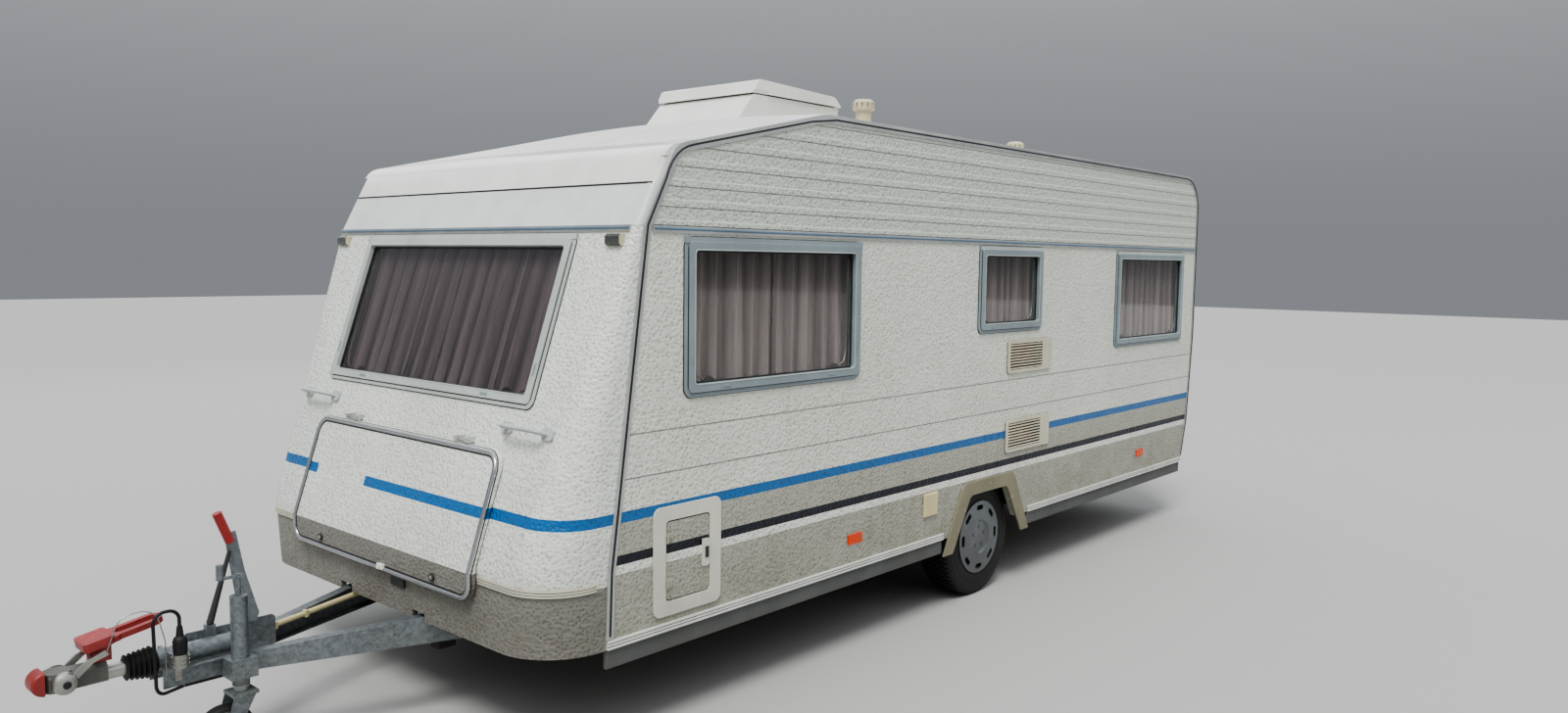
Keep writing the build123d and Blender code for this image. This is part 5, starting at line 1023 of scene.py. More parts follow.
def rounded_block(work, width, height, depth, corner):
    """Block with rounded front corners, its back at z 0."""
    block = Matrix.Translation((0, 0, depth / 2)) @ Matrix.Diagonal((width, height, depth, 1))
    bmesh.ops.create_cube(work, size=1.0, matrix=block)
    rounded = [e for e in work.edges if max(v.co.z for v in e.verts) > depth * 0.9
               or abs(e.verts[0].co.z - e.verts[1].co.z) > depth * 0.5]
    bmesh.ops.bevel(work, geom=rounded, offset=corner, segments=3, affect="EDGES", profile=0.5)


print("up on a front face is", tuple(facing(Vector(), (1, 0, 0)).col[1]))

# %% [markdown]
# A hinged caravan window has four visible layers: the painted frame, a black seal on its
# inner edge, the acrylic pane over it, and the catches and stays inside. The seal is a
# bead round each opening; the table below lists the windows as they sit in the body.

# %% Window seals and lips
# front and rear station, low and high edge
SIDE_WINDOWS = [
    (-0.205, -1.315, 1.297, 1.917),
    (-2.348, -3.040, 1.455, 1.922),
    (-4.025, -5.135, 1.299, 1.919),
]
FRONT_WINDOW_WIDTH, FRONT_WINDOW_FOOT, FRONT_WINDOW_TOP = 1.56, 1.262, 1.922
REAR_FACE, REAR_WINDOW_WIDTH, REAR_WINDOW_HEIGHT, REAR_WINDOW_MIDDLE = -5.377, 1.30, 0.60, 1.6
FRAME_BORDER = 0.052
FRAME_CORNER = 0.038
SASH_CORNER = 0.030
GLASS_CORNER = 0.012
GLASS_FACE = -0.009
SASH_FACE = 0.015
SASH_STEP = 0.018
FLANGE_FACE = 0.008


def rounded_loop(width, height, corner, steps=6):
    """Points round a rounded rectangle in its own plane."""
    points = []
    for cx, cy, start in ((1, 1, 0), (-1, 1, 90), (-1, -1, 180), (1, -1, 270)):
        for i in range(steps + 1):
            angle = math.radians(start + 90 * i / steps)
            points.append(Vector((cx * (width / 2 - corner) + corner * math.cos(angle),
                                  cy * (height / 2 - corner) + corner * math.sin(angle), 0)))
    return points


def window_places():
    """Place on the outer skin, width and height of every framed window."""
    rows = []
    for x_front, x_rear, low, high in SIDE_WINDOWS:
        for side in (1, -1):
            spot = at((x_front + x_rear) / 2, side * SIDE, (low + high) / 2)
            rows.append((facing(spot, (0, side, 0)), x_front - x_rear, high - low))
    rake = math.atan2(FRONT_CREASE_X - FRONT_WAIST_X, WAIST - CREASE)
    middle = (FRONT_WINDOW_TOP + FRONT_WINDOW_FOOT) / 2
    front = facing(at(front_station(middle), 0, middle), (math.cos(rake), 0, math.sin(rake)))
    rows.append((front, FRONT_WINDOW_WIDTH, (FRONT_WINDOW_TOP - FRONT_WINDOW_FOOT) / math.cos(rake)))
    rear = facing(at(REAR_FACE, 0, REAR_WINDOW_MIDDLE), (-1, 0, 0))
    rows.append((rear, REAR_WINDOW_WIDTH, REAR_WINDOW_HEIGHT))
    return rows


def window_loop(place, width, height, corner, face=0.0):
    """A closed path round a window, at a distance out from the skin."""
    return [place @ (p + Vector((0, 0, face))) for p in rounded_loop(width, height, corner)], True


WINDOW_PLACES = window_places()
seal_paths, rim_paths, lip_paths = [], [], []
for place, width, height in WINDOW_PLACES:
    glass = 2 * (FRAME_BORDER + 0.002)
    sash = 2 * SASH_STEP - 0.002
    lip = glass - 0.010
    seal_paths.append(window_loop(place, width - glass, height - glass, GLASS_CORNER, GLASS_FACE + 0.002))
    rim_paths.append(window_loop(place, width, height, FRAME_CORNER))
    rim_paths.append(window_loop(place, width - sash, height - sash, SASH_CORNER, FLANGE_FACE - 0.001))
    lip_paths.append(window_loop(place, width - lip, height - lip, GLASS_CORNER + 0.005, SASH_FACE - 0.001))
beaded("window_seals", seal_paths, 0.0045, seal)
beaded("window_rim_seals", rim_paths, 0.0030, seal)
# the lip on the sash's inner edge is a real bead; its paler grey, brighter than the side frames, is a painted
# highlight
beaded("window_sash_lips", lip_paths, 0.0028, front_frame_grey)
print("windows", len(WINDOW_PLACES), "beads", len(seal_paths + rim_paths + lip_paths))

# %% [markdown]
# Two black catches hold each pane shut at its foot, a thin stay on each side holds it
# open, and small clips keep the sash in its frame. They are copies and beads as well.

# %% Catches, clips and stays
CATCH_DEEP, STAY_DEEP = -0.028, -0.024
CLIP_IN = 0.034
QUARTER_TURN = Matrix.Rotation(math.pi / 2, 4, "Z")


def catch_shape(work):
    """Low black handle of an inside catch, seen through the pane."""
    outline = [(-0.05, 0), (0.05, 0), (0.02, 0.022), (0.006, 0.030), (-0.006, 0.030), (-0.02, 0.022)]
    low, high = ([work.verts.new((x, y, z)) for x, y in outline] for z in (0.0, 0.010))
    work.faces.new(low)
    work.faces.new(high)
    walled(work, low, high)


def clip_shape(work):
    rounded_block(work, 0.013, 0.050, 0.0026, 0.001)
    rounded_block(work, 0.004, 0.036, 0.0038, 0.001)


catch = shape_object("window catch", catch_shape)
sash_clip = shape_object("sash clip", clip_shape)
catch_places, clip_places, stay_paths = [], [], []
for place, width, height in WINDOW_PLACES:
    foot = -height / 2 + FRAME_BORDER
    for side in (-1, 1):
        catch_places.append(place @ Matrix.Translation((side * 0.36 * width, foot - 0.006, CATCH_DEEP)))
        beside = Matrix.Translation((side * (width / 2 - CLIP_IN), foot + 0.10, SASH_FACE - 0.001))
        below = Matrix.Translation((side * 0.30 * width, -height / 2 + CLIP_IN, SASH_FACE - 0.001))
        clip_places += [place @ beside, place @ below @ QUARTER_TURN]
        x = side * (width / 2 - FRAME_BORDER - 0.016)
        elbow = [(x, height / 2 - 0.08, STAY_DEEP + 0.002), (x, 0.06, STAY_DEEP), (x, foot + 0.09, STAY_DEEP),
                 (x - side * 0.02, foot + 0.03, STAY_DEEP + 0.002),
                 (x - side * 0.06, foot + 0.012, STAY_DEEP + 0.002)]
        stay_paths.append(([place @ Vector(p) for p in elbow], False))
copied("window_catches", catch, catch_places, dark_plastic)
copied("sash_clips", sash_clip, clip_places, frame_grey)
beaded("window_stays", stay_paths, 0.004, zinc)
print("catches", len(catch_places), "clips", len(clip_places), "stays", len(stay_paths))

# %% [markdown]
# Aluminium strips cover the joints of the body: they run round each side wall, and a
# black insert hides their screws. The insert is a bead along the middle of the strip;
# at the waist it is thinner.

# %% Dark inserts of the joint strips
INSERT_IN = 0.018
STRIP_FACE = SIDE + 0.0052
ROOF_CORNER, ROOF_CORNER_X, ROOF_CORNER_Z = 0.235, -5.142, 2.230


def side_profile_points(inset):
    """Edge of the side wall from the front foot over the roof to the rear foot."""
    front = [(0.181, 0.45), (0.172, CREASE), (0.086, 1.3225), (0.0, WAIST)]
    points = [Vector((x - inset, 0, z)) for x, z in front]
    a, b, c = Vector((-0.09, 0, 2.13)), Vector((-0.135, 0, 2.255)), Vector((-0.255, 0, 2.285))
    for i in range(7):
        t = i / 6
        p = a.lerp(b, t).lerp(b.lerp(c, t), t)
        points.append(p + Vector((-inset * (1 - t), 0, -inset * t)))
    roof = [(-0.95, 2.441), (-1.12, 2.464), (-3.0, 2.465), (-5.12, 2.465)]
    points += [Vector((x, 0, z - inset)) for x, z in roof]
    for i in range(1, 9):
        angle = math.radians(90 + 90 * i / 8)
        reach = ROOF_CORNER - inset
        points.append(Vector((ROOF_CORNER_X + reach * math.cos(angle), 0,
                              ROOF_CORNER_Z + reach * math.sin(angle))))
    rear = [(REAR_FACE, 1.7), (-5.375, 1.33), (-5.345, 0.98), (-5.318, CREASE), (-5.27, 0.53), (-5.245, 0.45)]
    return points + [Vector((x + inset, 0, z)) for x, z in rear]


side_line = side_profile_points(INSERT_IN)
insert_paths = [([at(p.x, side * STRIP_FACE, p.z) for p in side_line], False) for side in (-1, 1)]
beaded("strip_inserts", insert_paths, 0.0042, seal)
print("points along a side strip", len(side_line))

# %% [markdown]
# At the waist the insert is slate grey, and above it a dark line marks where the wall
# sheet steps back. On the door side both stop at the door.

# %% Waist inserts
DOOR_SPAN = (-2.06, -1.42)
WALL_SPAN = (-5.33, -0.05)
INSERT_Z, DRIP_Z = WAIST - 0.0105, WAIST + 0.001
FRONT_STRIP_X, FRONT_STRIP_HALF = 0.0412, 1.068
waist_paths, drip_paths = [], []
for side, spans in ((1, [WALL_SPAN]), (-1, [(WALL_SPAN[0], DOOR_SPAN[0]), (DOOR_SPAN[1], WALL_SPAN[1])])):
    for span in spans:
        waist_paths.append(([at(x, side * STRIP_FACE, INSERT_Z) for x in span], False))
        drip_paths.append(([at(x, side * (SIDE + 0.0010), DRIP_Z) for x in span], False))
waist_paths.append(([at(FRONT_STRIP_X, y, INSERT_Z) for y in (-FRONT_STRIP_HALF, FRONT_STRIP_HALF)], False))
beaded("waist_inserts", waist_paths, 0.0058, slate)
beaded("waist_drip_lines", drip_paths, 0.0024, seal)
print("waist inserts", len(waist_paths), "lines", len(drip_paths))

# %% [markdown]
# The white front cap meets the band in a dark seam that follows the curve of the front.
# The dark bead is partly that joint and partly painted shade under the cap's lower edge.
# A ray cast back at the nodes finds that curve, so the seam can't float or sink.

# %% Seam under the front cap
LOOK_FROM, LOOK_BACK = 9.0, Vector((-1, 0, 0))
SEAM_HALF, SEAM_STEPS = 1.086, 72


def skin_of(node):
    """A node's faces, ready for rays."""
    mesh = frame["nodes"][node].data
    return BVHTree.FromPolygons([v.co for v in mesh.vertices], [p.vertices for p in mesh.polygons])


def looked_back(skin, y, z):
    """Where a look from the front first meets a skin, or None."""
    return skin.ray_cast(Vector((LOOK_FROM, y, z)), LOOK_BACK)[0]


def across_front(z, lift, nodes):
    """Points from side to side on the front face at a height."""
    points = []
    skins = [skin_of(node) for node in nodes]
    for i in range(SEAM_STEPS + 1):
        y = -SEAM_HALF + 2 * SEAM_HALF * i / SEAM_STEPS
        found = [spot.x for spot in (looked_back(skin, y, z) for skin in skins) if spot]
        if found:
            points.append(Vector((max(found) + lift, y, z)))
    return points


seam_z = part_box("front_cap")[0].z
seam_path = across_front(seam_z - 0.001, -0.0005, ("front_band", "front_cap"))
# dark bead: the joint, and painted shade under the cap's lower edge
beaded("cap_seam", [(seam_path, False)], 0.0042, seal)
print("cap seam at", round(seam_z, 3), "points", len(seam_path))

# %% [markdown]
# The locker lid is framed by a rounded bright bead over a dark seal. The lid bends at its
# own crease, so a point of the bead gets its station from its height.

# %% Bead of the locker lid
LID_HALF, LID_FOOT, LID_TOP, LID_BEND, LID_CORNER = 0.700, 0.556, 1.108, 0.668, 0.075
LID_OUT = 0.030


def lid_station(z):
    """Outside of the lid at a height: upright below its bend, raked above."""
    low, high = front_station(LID_FOOT) + LID_OUT, front_station(LID_TOP) + LID_OUT
    share = max(0.0, (z - LID_BEND) / (LID_TOP - LID_BEND))
    return low + (high - low) * share


def lid_loop(inset, lift):
    """Rounded loop on the lid, inset from its edge and lifted off it."""
    loop = rounded_loop(2 * (LID_HALF - inset), LID_TOP - LID_FOOT - 2 * inset, LID_CORNER - inset, 10)
    middle = (LID_TOP + LID_FOOT) / 2
    points = []
    for p, after in zip(loop, loop[1:] + loop[:1]):
        heights = [p.y + middle]
        if min(p.y, after.y) + middle < LID_BEND < max(p.y, after.y) + middle:
            heights.append(LID_BEND)
        points += [at(lid_station(z) + lift, p.x, z) for z in heights]
    return points


beaded("lid_bead", [(lid_loop(0.012, -0.001), True)], 0.0095, bright_metal, "locker", 12)
lid_seals = [(lid_loop(0.0245, -0.0005), True), (lid_loop(0.001, -0.003), True)]
beaded("lid_bead_seal", lid_seals, 0.0030, seal, "locker")
print("lid bead", len(lid_loop(0, 0)), "points")

# %% [markdown]
# Two round locks sit low on the lid, each a dark ring with a plated core, and one white
# catch sits between them. The leaf above the lid's top edge is the bright hinge.

# %% Locks, catch and hinge of the lid
LOCK_SIDE, LOCK_HEIGHT, LOCK_RADIUS = 0.445, 0.608, 0.0175
LID_HINGE_FOOT = 1.1085


def on_lock_ring(c, n):
    off_lid = c.x - at(lid_station(c.z), 0, 0).x
    return math.hypot(abs(c.y) - LOCK_SIDE, c.z - LOCK_HEIGHT) < LOCK_RADIUS and off_lid > 0.001


def catch_block(work):
    rounded_block(work, 0.046, 0.024, 0.014, 0.004)
    rounded_block(work, 0.016, 0.020, 0.022, 0.003)


repaint("locker_lid", dark_plastic, on_lock_ring)
lid_skin = skin_of("locker_lid")
lock_places = [facing(looked_back(lid_skin, y, LOCK_HEIGHT), (1, 0, 0)) for y in (-LOCK_SIDE, LOCK_SIDE)]
lock_core = shape_object("lock core", lambda work: pan_head(work, 0.0085, 0.003, 20))
copied("lid_lock_cores", lock_core, lock_places, zinc, "locker")
repaint("locker_lid", zinc, lambda c, n: c.z > LID_HINGE_FOOT)
lid_catch = shape_object("lid catch", catch_block)
CATCH_SIDE, CATCH_HEIGHT = 0.068, 0.578
catch_place = facing(at(lid_station(CATCH_HEIGHT), CATCH_SIDE, CATCH_HEIGHT), (1, 0, 0.1))
copied("lid_catch_white", lid_catch, [catch_place], white_gloss, "locker")
print("locks", len(lock_places))

# %% [markdown]
# The friction pads of the coupling end in round caps, and three pan-head screws hold
# each wheel arch trim.

# %% Pad caps and arch screws
ARCH_SCREWS = ((0.0, 0.632), (-0.255, 0.52), (0.255, 0.52))
ARCH_TRIM_FACE = SIDE + 0.0098
pad_points = [v.co for v in frame["nodes"]["friction_pads"].data.vertices]
pad_cap = shape_object("pad cap", lambda work: pan_head(work, 0.013, 0.004, 24))
cap_places = []
for side in (-1, 1):
    reach = max(side * p.y for p in pad_points)
    outer = [p for p in pad_points if side * p.y > reach - 0.0002]
    middle = sum(outer, Vector()) / len(outer) - Vector((0, side * 0.0005, 0))
    cap_places.append(facing(middle, (0, side, 0)))
copied("friction_pad_caps", pad_cap, cap_places, seal)
screw = shape_object("trim screw", lambda work: pan_head(work, 0.0075, 0.003, 16))
screw_places = [facing(at(WHEEL_STATION + x, side * ARCH_TRIM_FACE, z), (0, side, 0))
                for side in (-1, 1) for x, z in ARCH_SCREWS]
copied("arch_trim_screws", screw, screw_places, zinc)
print("pad caps", len(cap_places), "screws", len(screw_places))

# %% [markdown]
# The rear lamps are three lenses side by side in a dark housing, and the service hatch
# has a black lock in its white latch.

# %% Rear lenses and hatch lock
LENSES = (("amber", amber, 0.970), ("red", red_lens, 0.890), ("clear", clear_lens, 0.810))
LATCH_FACE = SIDE + 0.0118
lamp_low, lamp_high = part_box("rear_lamps")
lamp_z = (lamp_low.z + lamp_high.z) / 2
lens_shape = shape_object("lens", lambda work: rounded_block(work, 0.074, 0.104, 0.008, 0.004))
for label, glass, aside in LENSES:
    spots = [facing(Vector((lamp_low.x + 0.001, side * aside, lamp_z)), (-1, 0, 0)) for side in (-1, 1)]
    copied("rear_lens_" + label, lens_shape, spots, glass)
lock_shape = shape_object("hatch lock", lambda work: rounded_block(work, 0.020, 0.046, 0.003, 0.0025))
lock_place = facing(Vector((HATCH_LATCH.x, LATCH_FACE, HATCH_LATCH.z)), (0, 1, 0))
copied("hatch_lock", lock_shape, [lock_place], dark_plastic, frame["nodes"]["hatch_door"]["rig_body"])
print("rear lenses", 2 * len(LENSES))

# %% [markdown]
# A tyre is one lathe turn of its profile plus tread blocks. The blocks are copies of two
# shapes on rows of points round the crown, each row shifted by part of a block.

# %% Tyre section and tread blocks
RIM_EDGE = 0.178
CROWN = 0.325
TREAD_DEPTH = 0.007
BLOCKS_ROUND = 66


def tyre_profile():
    """Half of the section, as distance along the axle and radius: bead, wall with its two
    moulded rings, shoulder and the floor of the tread."""
    bead = [(0.074, RIM_EDGE + 0.0005), (0.0815, RIM_EDGE + 0.001), (0.0855, 0.1845), (0.0875, 0.192)]
    wall = [(0.0900, 0.199), (0.0908, 0.2055), (0.0896, 0.2068), (0.0908, 0.2082), (0.0918, 0.226),
            (0.0926, 0.243), (0.0926, 0.2575), (0.0917, 0.2588), (0.0917, 0.2612), (0.0922, 0.2625)]
    shoulder = [(0.0915, 0.277), (0.0890, 0.292), (0.0850, 0.3035), (0.0800, 0.3095), (0.0715, 0.3148)]
    return bead + wall + shoulder + [(0.0640, CROWN - TREAD_DEPTH), (0.0, CROWN - TREAD_DEPTH + 0.0005)]


def lathe(work, section, centre, turns, outward):
    """Turns a closed section round an axle along Y."""
    rings = []
    for i in range(turns):
        angle = math.tau * i / turns
        rings.append([work.verts.new((centre.x + r * math.sin(angle), centre.y + outward * a,
                                      centre.z + r * math.cos(angle))) for a, r in section])
    for here, there in zip(rings, rings[1:] + rings[:1]):
        walled(work, here, there)


def block_shape(width, length, lean):
    """Builds a tread block that leans along its row and narrows towards its top."""
    def build(work):
        corners = [(-width / 2, -length / 2 - lean), (width / 2, -length / 2 + lean),
                   (width / 2, length / 2 + lean), (-width / 2, length / 2 - lean)]
        low = [work.verts.new((x, y, -TREAD_DEPTH - 0.001)) for x, y in corners]
        high = [work.verts.new((x * 0.93, y * 0.95, 0)) for x, y in corners]
        work.faces.new(low)
        work.faces.new(high)
        walled(work, low, high)
        rim = [e for e in work.edges if all(v.co.z > -0.001 for v in e.verts)]
        bmesh.ops.bevel(work, geom=rim, offset=0.0008, segments=2, affect="EDGES")
    return build


inner_block = shape_object("tread block", block_shape(0.0215, 0.0245, 0.004))
outer_block = shape_object("shoulder block", block_shape(0.0200, 0.0235, 0.000))
# distance of the row from the middle, radius of its top, tilt in degrees, shape, shift in blocks
TREAD_ROWS = [(-0.0735, 0.3200, -24, outer_block, 0.25), (-0.0500, 0.3246, -3, inner_block, 0.0),
              (-0.0250, 0.3249, 0, inner_block, 0.5), (0.0, CROWN, 0, inner_block, 0.0),
              (0.0250, 0.3249, 0, inner_block, 0.5), (0.0500, 0.3246, 3, inner_block, 0.0),
              (0.0735, 0.3200, 24, outer_block, 0.25)]
print("tread blocks each wheel", BLOCKS_ROUND * len(TREAD_ROWS))

# %% [markdown]
# Each wheel gets its casing in place of the plain CAD tyre, its rows of blocks, and five
# nut caps on the cover. Everything turns with the wheel's own body.

# %% Tyres and wheel nuts
CASING_TURNS = 120
NUTS, NUT_CIRCLE = 5, 0.056
COVER_FACE, NUT_SUNK = 1.058, 0.0125


def block_places(centre, wanted):
    """Places of the blocks of one shape round a wheel."""
    places = []
    for aside, radius, tilt, shape, shift in TREAD_ROWS:
        spot = Matrix.Translation((0, aside, radius)) @ Matrix.Rotation(math.radians(90), 4, "Z")
        spot = spot @ Matrix.Rotation(math.radians(tilt), 4, "Y")
        for i in range(BLOCKS_ROUND if shape is wanted else 0):
            turn = Matrix.Rotation(math.tau * (i + shift) / BLOCKS_ROUND, 4, "Y")
            places.append(Matrix.Translation(centre) @ turn @ spot)
    return places


def nut_places(centre, outward):
    places = []
    for i in range(NUTS):
        angle = math.tau * i / NUTS
        spot = Vector((centre.x + NUT_CIRCLE * math.sin(angle), outward * (COVER_FACE - NUT_SUNK),
                       centre.z + NUT_CIRCLE * math.cos(angle)))
        places.append(facing(spot, (0, outward, 0)))
    return places


def hex_cap(work):
    bmesh.ops.create_cone(work, cap_ends=True, segments=6, radius1=0.0098, radius2=0.0092, depth=0.012)
    bmesh.ops.bevel(work, geom=work.edges[:], offset=0.0008, segments=1, affect="EDGES")


nut_cap = shape_object("nut cap", hex_cap)
half_section = tyre_profile()
whole_section = half_section + [(-a, r) for a, r in half_section[-2::-1]]
for label, outward in (("left", 1), ("right", -1)):
    node, body = "tyre_" + label, "wheel_" + label
    low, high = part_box(node)
    centre = (Vector(low) + Vector(high)) / 2
    mesh = mesh_of(node, lambda work: lathe(work, whole_section, centre, CASING_TURNS, outward))
    mesh.shade_smooth()
    mesh.set_sharp_from_angle(angle=math.radians(50))
    casing = put_in_scene(node + "_casing", mesh, rubber, body)
    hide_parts(node)
    copied(node + "_crown", inner_block, block_places(centre, inner_block), rubber, body)
    copied(node + "_shoulder", outer_block, block_places(centre, outer_block), rubber, body)
    copied("nut_caps_" + label, nut_cap, nut_places(centre, outward), cover_silver, body)
    print(node, "casing faces", len(mesh.polygons))

# %% [markdown]
# Sheer curtains are much wider than the window they hang at. A header tape gathers the
# cloth into folds of uneven pitch. Each size of window gets one panel, pleated here with
# its flat size in the UV map, so that the weave follows the cloth.

# %% Curtain panels, pleated
CURTAIN_DEEP = 0.034
PLEAT = 0.105
ROWS = 26
STEPS_IN_PLEAT = 16
MEASURED_ROW = 12


def pleated_panel(name, width, drop, seed):
    """Panel from x = -width / 2, its top at z = 0, with its flat size in the UV."""
    draw = random.Random(seed)
    folds = round(width / PLEAT)
    pitches = [draw.uniform(0.6, 1.5) for _ in range(folds)]
    whole = sum(pitches)
    starts = [sum(pitches[:i]) / whole for i in range(folds + 1)]
    depths = [draw.uniform(0.55, 1.0) for _ in range(folds + 1)]
    sway = [draw.uniform(-1, 1) for _ in range(folds + 1)]
    verts = []
    for row in range(ROWS + 1):
        fall = row / ROWS
        for col in range(folds * STEPS_IN_PLEAT + 1):
            fold = min(col // STEPS_IN_PLEAT, folds - 1)
            t = col / STEPS_IN_PLEAT - fold
            across = starts[fold] * (1 - t) + starts[fold + 1] * t
            deep = depths[fold] * (1 - t) + depths[fold + 1] * t
            swing = sway[fold] * (1 - t) + sway[fold + 1] * t
            x = (across - 0.5) * width + 0.010 * swing * fall * math.sin(math.pi * across)
            x += 0.13 * width / folds * math.sin(2 * math.tau * t)
            y = CURTAIN_DEEP * 0.44 * deep * (0.6 + 0.4 * fall) * math.sin(math.tau * t + swing * fall)
            verts.append((max(-width / 2, min(width / 2, x)), y, -drop * fall))
    span = folds * STEPS_IN_PLEAT + 1
    faces = [(row * span + col, row * span + span + col, row * span + span + col + 1, row * span + col + 1)
             for row in range(ROWS) for col in range(span - 1)]
    mesh = bpy.data.meshes.new(name)
    mesh.from_pydata(verts, [], faces)
    lengths = [0.0]
    line = verts[MEASURED_ROW * span:(MEASURED_ROW + 1) * span]
    for a, b in zip(line, line[1:]):
        lengths.append(lengths[-1] + (Vector(b) - Vector(a)).length)
    layer = mesh.uv_layers.new(name="cloth")
    for loop in mesh.loops:
        row, col = divmod(loop.vertex_index, span)
        layer.data[loop.index].uv = (lengths[col], row / ROWS * drop)
    return mesh, lengths[-1], span


print("pleats in a metre", round(1 / PLEAT, 1))

# %% [markdown]
# From its rail the panel hangs by its own weight. It is let down as cloth between two
# guards, which stand where the wall and the room's edge of the curtain are. The tall
# front panels are held at their hem too, because the window there leans back.

# %% Panels hung as cloth
HANG_FRAMES = 26
CLOTH = {"quality": 5, "mass": 0.08, "tension_stiffness": 10, "compression_stiffness": 10,
         "bending_stiffness": 0.02, "air_damping": 2}
CURTAIN_EDGE, CURTAIN_MEET = 0.030, 0.005
CURTAIN_OVER = 0.040
HEM_HELD_FROM = 0.65
FIRST_SEED = 7


def guards():
    """Two upright plates, in front of and behind the hanging cloth."""
    plates = []
    for side in (-1, 1):
        mesh = bpy.data.meshes.new("guard")
        y = side * CURTAIN_DEEP / 2
        mesh.from_pydata([(-2, y, -2), (2, y, -2), (2, y, 1), (-2, y, 1)], [], [(0, 1, 2, 3)])
        plate = linked("guard", mesh)
        plate.modifiers.new("guard", "COLLISION")
        plate.collision.thickness_outer = 0.001
        plates.append(plate)
    return plates


def hung(mesh, span, held_low):
    """Lets the panel hang from its top row, and from its hem too if that has a rail."""
    actor = linked("hanging cloth", mesh)
    pinned = list(range(span)) + (list(range(ROWS * span, (ROWS + 1) * span)) if held_low else [])
    actor.vertex_groups.new(name="rail").add(pinned, 1.0, "REPLACE")
    cloth = actor.modifiers.new("cloth", "CLOTH")
    cloth.settings.vertex_group_mass = "rail"
    for key, value in CLOTH.items():
        setattr(cloth.settings, key, value)
    cloth.collision_settings.distance_min = 0.001
    cloth.point_cache.frame_start = 1
    cloth.point_cache.frame_end = HANG_FRAMES
    for moment in range(1, HANG_FRAMES + 1):
        bpy.context.scene.frame_set(moment)
    graph = bpy.context.evaluated_depsgraph_get()
    result = bpy.data.meshes.new_from_object(actor.evaluated_get(graph))
    bpy.data.objects.remove(actor)
    bpy.context.scene.frame_set(1)
    return result


guard_plates = guards()
panels = {}
for place, width, height in WINDOW_PLACES:
    size = (round(width, 3), round(height, 3))
    if size in panels:
        continue
    wide = (width - CURTAIN_MEET) / 2 - CURTAIN_EDGE
    drop = height + CURTAIN_OVER
    mesh, flat_width, span = pleated_panel("panel", wide - 0.004, drop - 0.003, FIRST_SEED + len(panels))
    panels[size] = (hung(mesh, span, height > HEM_HELD_FROM), flat_width, wide, drop)
for plate in guard_plates:
    bpy.data.objects.remove(plate)
print("panels", {size: round(row[1], 3) for size, row in panels.items()})

# %% [markdown]
# The hung panels are copied to both halves of every window, mirrored so that the two
# halves differ. How deep a point lies in its fold is kept as an attribute, which lets the
# cloth's material paint shade into the hollows of the folds, away from the glass.

# %% Curtains at the windows
WALL_DEEP, FRONT_DEEP = 0.030, 0.025
RAIL_CLEAR = 0.0003
rail_paths = []
for number, (place, width, height) in enumerate(WINDOW_PLACES):
    panel, flat_width, wide, drop = panels[(round(width, 3), round(height, 3))]
    deep = FRONT_DEEP if height > HEM_HELD_FROM else WALL_DEEP
    depth = -deep - RAIL_CLEAR - CURTAIN_DEEP / 2
    top = 0.010 + drop / 2
    for side, letter in ((-1, "a"), (1, "b")):
        spot = place @ Matrix.Translation((side * (wide + CURTAIN_MEET) / 2, top - 0.0015, depth))
        # the panel hangs along its own z, which is the window's y
        flip = Matrix(((side, 0, 0, 0), (0, 0, 1, 0), (0, 1, 0, 0), (0, 0, 0, 1)))
        mesh = panel.copy()
        # depth in the fold, which drives the painted shade of the hollows
        fold = mesh.attributes.new("fold", "FLOAT", "POINT")
        fold.data.foreach_set("value", [0.5 + v.co.y / CURTAIN_DEEP for v in mesh.vertices])
        mesh.name = f"curtain_{number}_{letter}"
        mesh.transform(spot @ flip)
        mesh.shade_smooth()
        piece = put_in_scene(mesh.name, mesh, curtain_cloth, "root")
    rail = [place @ Vector((s * (width / 2 - CURTAIN_EDGE), top - 0.004, depth)) for s in (-1, 1)]
    rail_paths.append((rail, False))
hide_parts("curtains")
beaded("curtain_rails", rail_paths, 0.0035, white_gloss)

# %% [markdown]
# Cushions and mattress are foam in a sewn cover: crowned on top, with sides that pull in
# between the corners, and a piped seam along the upper and lower edge.

# %% Seat cushions and mattress
SEAT = 0.9003
CUTS, SEAM_WIDTH = 11, 0.13


def padded_box(name, low, high, swell, pinch):
    """Foam block between two corners: its crown swells and its sides pull in."""
    work = bmesh.new()
    size = high - low
    middle = (low + high) / 2
    bmesh.ops.create_cube(work, size=2.0)
    bmesh.ops.subdivide_edges(work, edges=work.edges[:], cuts=CUTS, use_grid_fill=True)
    for v in work.verts:
        x, y, z = v.co
        crown = (1 - x ** 4) * (1 - y ** 4)
        if z > 0:
            v.co.z = z * (1 - swell + swell * crown)
        v.co.x = x * (1 - pinch * (1 - y ** 2) * abs(x) ** 3)
        v.co.y = y * (1 - pinch * (1 - x ** 2) * abs(y) ** 3)
        v.co = Vector((v.co.x * size.x, v.co.y * size.y, v.co.z * size.z)) / 2 + middle
    sharp = [e for e in work.edges if e.calc_face_angle(0) > 0.6]
    bmesh.ops.bevel(work, geom=sharp, offset=min(size) * SEAM_WIDTH, segments=4, affect="EDGES")
    uv = work.loops.layers.uv.new("cloth")
    for face in work.faces:
        thick = max(range(3), key=lambda axis: abs(face.normal[axis]))
        for loop in face.loops:
            loop[uv].uv = [loop.vert.co[axis] for axis in range(3) if axis != thick]
    mesh = bpy.data.meshes.new(name)
    work.to_mesh(mesh)
    work.free()
    mesh.shade_smooth()
    piece = put_in_scene(name, mesh, seat_cloth, "root")
    return piece


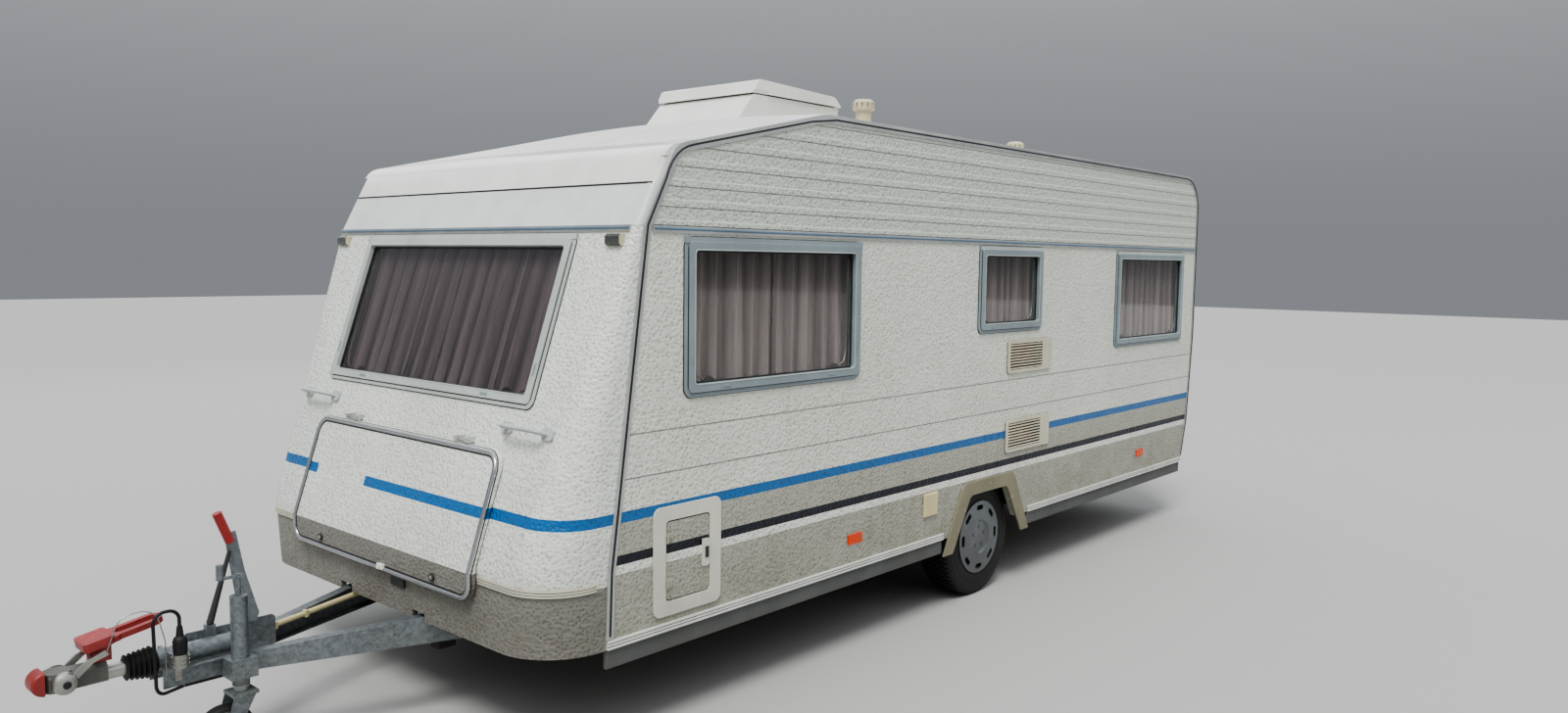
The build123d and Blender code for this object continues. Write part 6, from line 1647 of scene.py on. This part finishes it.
# name, rear and front station, middle and half width, top, swell, pinch
PADS = [
    ("cushion_left", -1.240, -0.100, 0.740, 0.315, 1.018, 0.22, 0.020),
    ("cushion_right", -1.240, -0.100, -0.740, 0.315, 1.018, 0.22, 0.020),
    ("mattress", -5.172, -4.060, 0.0, 1.055, 1.038, 0.15, 0.008),
]
pads = [padded_box(name, at(rear, y - half, SEAT), at(front, y + half, top), swell, pinch)
        for name, rear, front, y, half, top, swell, pinch in PADS]
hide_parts("cushions")
print("pads", len(pads))

# %% [markdown]
# The stage is a plain pale floor under a pale sky, so the portrait shows the caravan and
# nothing else.

# %% Floor and sky
STAGE_HALF = 45.0
HORIZON, OVERHEAD = (0.22, 0.23, 0.245, 1), (1.05, 1.09, 1.15, 1)
mesh = bpy.data.meshes.new("stage_floor")
corners = [(x * STAGE_HALF, y * STAGE_HALF, 0) for x, y in ((-1, -1), (1, -1), (1, 1), (-1, 1))]
mesh.from_pydata(corners, [], [(0, 1, 2, 3)])
floor_paint, _, floor_shader = new_material("stage floor")
floor_shader.inputs["Base Color"].default_value = colour(168, 167, 164)
floor_shader.inputs["Roughness"].default_value = 0.85
mesh.materials.append(floor_paint)
linked("stage_floor", mesh)

# an overcast sky: pale overhead, greyer down to the horizon
world = bpy.data.worlds.new("pale sky")
bpy.context.scene.world = world
world.use_nodes = True
sky = world.node_tree
direction = sky.nodes.new("ShaderNodeTexCoord").outputs["Generated"]
upward = add_node(sky, "ShaderNodeSeparateXYZ", values={"Vector": direction}).outputs["Z"]
sky_colour = mixed(sky, ramped(sky, upward, 0.0, 0.9), HORIZON, OVERHEAD)
sky.links.new(sky_colour, sky.nodes["Background"].inputs["Color"])
print("stage", 2 * STAGE_HALF, "metres across")

# %% [markdown]
# Three large soft lights stand round the caravan, and a wide, weak sun gives the floor
# its shadow, as a bright overcast day does.

# %% Lights
# name, place, target, size in metres, power in watts
LIGHTS = [
    ("key", (10.0, 7.0, 9.5), (0.0, 0.0, 1.2), 6.0, 120.0),
    ("fill", (-9.0, 9.0, 7.0), (-1.0, 0.0, 1.2), 8.0, 90.0),
    ("back", (-2.0, -11.0, 8.0), (0.0, 0.0, 1.2), 8.0, 160.0),
]
SUN_WAY, SUN_POWER, SUN_WIDTH = (-5.0, -3.4, -10.0), 2.6, math.radians(22)


def hung_light(lamp, place, way):
    """Hangs a light at a place, shining along a direction."""
    turn = Vector(way).to_track_quat("-Z", "Y").to_matrix().to_4x4()
    linked(lamp.name, lamp).matrix_world = Matrix.Translation(place) @ turn


for name, place, target, size, power in LIGHTS:
    lamp = bpy.data.lights.new(name, "AREA")
    lamp.size = size
    lamp.energy = power
    hung_light(lamp, place, Vector(target) - Vector(place))
sun = bpy.data.lights.new("soft sun", "SUN")
sun.energy = SUN_POWER
sun.angle = SUN_WIDTH
hung_light(sun, (0, 0, 0), SUN_WAY)
print("lights", len(LIGHTS) + 1)

# %% [markdown]
# The camera's place, aim and lens were solved from lines of the body whose real lengths
# are known. It stands at eye height off the front left corner.

# %% Camera of the portrait
PHOTO_WIDTH = 1600
FOCAL_PIXELS = 1121.84
SENSOR = 36.0
EYE = (2.708, 4.149, 1.830)
YAW, PITCH, ROLL = (math.radians(a) for a in (-138.933, -4.980, 0.730))


def photo_camera():
    ahead = Vector((math.cos(YAW) * math.cos(PITCH), math.sin(YAW) * math.cos(PITCH), math.sin(PITCH)))
    level = Vector((math.sin(YAW), -math.cos(YAW), 0))
    raised = level.cross(ahead)
    right = math.cos(ROLL) * level + math.sin(ROLL) * raised
    upward = -math.sin(ROLL) * level + math.cos(ROLL) * raised
    turn = Matrix((right, upward, -ahead)).transposed().to_4x4()
    lens = bpy.data.cameras.new("photo camera")
    lens.sensor_width = SENSOR
    lens.lens = FOCAL_PIXELS / PHOTO_WIDTH * SENSOR
    lens.clip_end = 200
    camera = linked("photo camera", lens)
    camera.matrix_world = Matrix.Translation(at(*EYE)) @ turn
    return camera


bpy.context.scene.camera = photo_camera()
bpy.context.scene.view_settings.look = "AgX - Medium High Contrast"
print("lens", round(bpy.context.scene.camera.data.lens, 2), "mm")
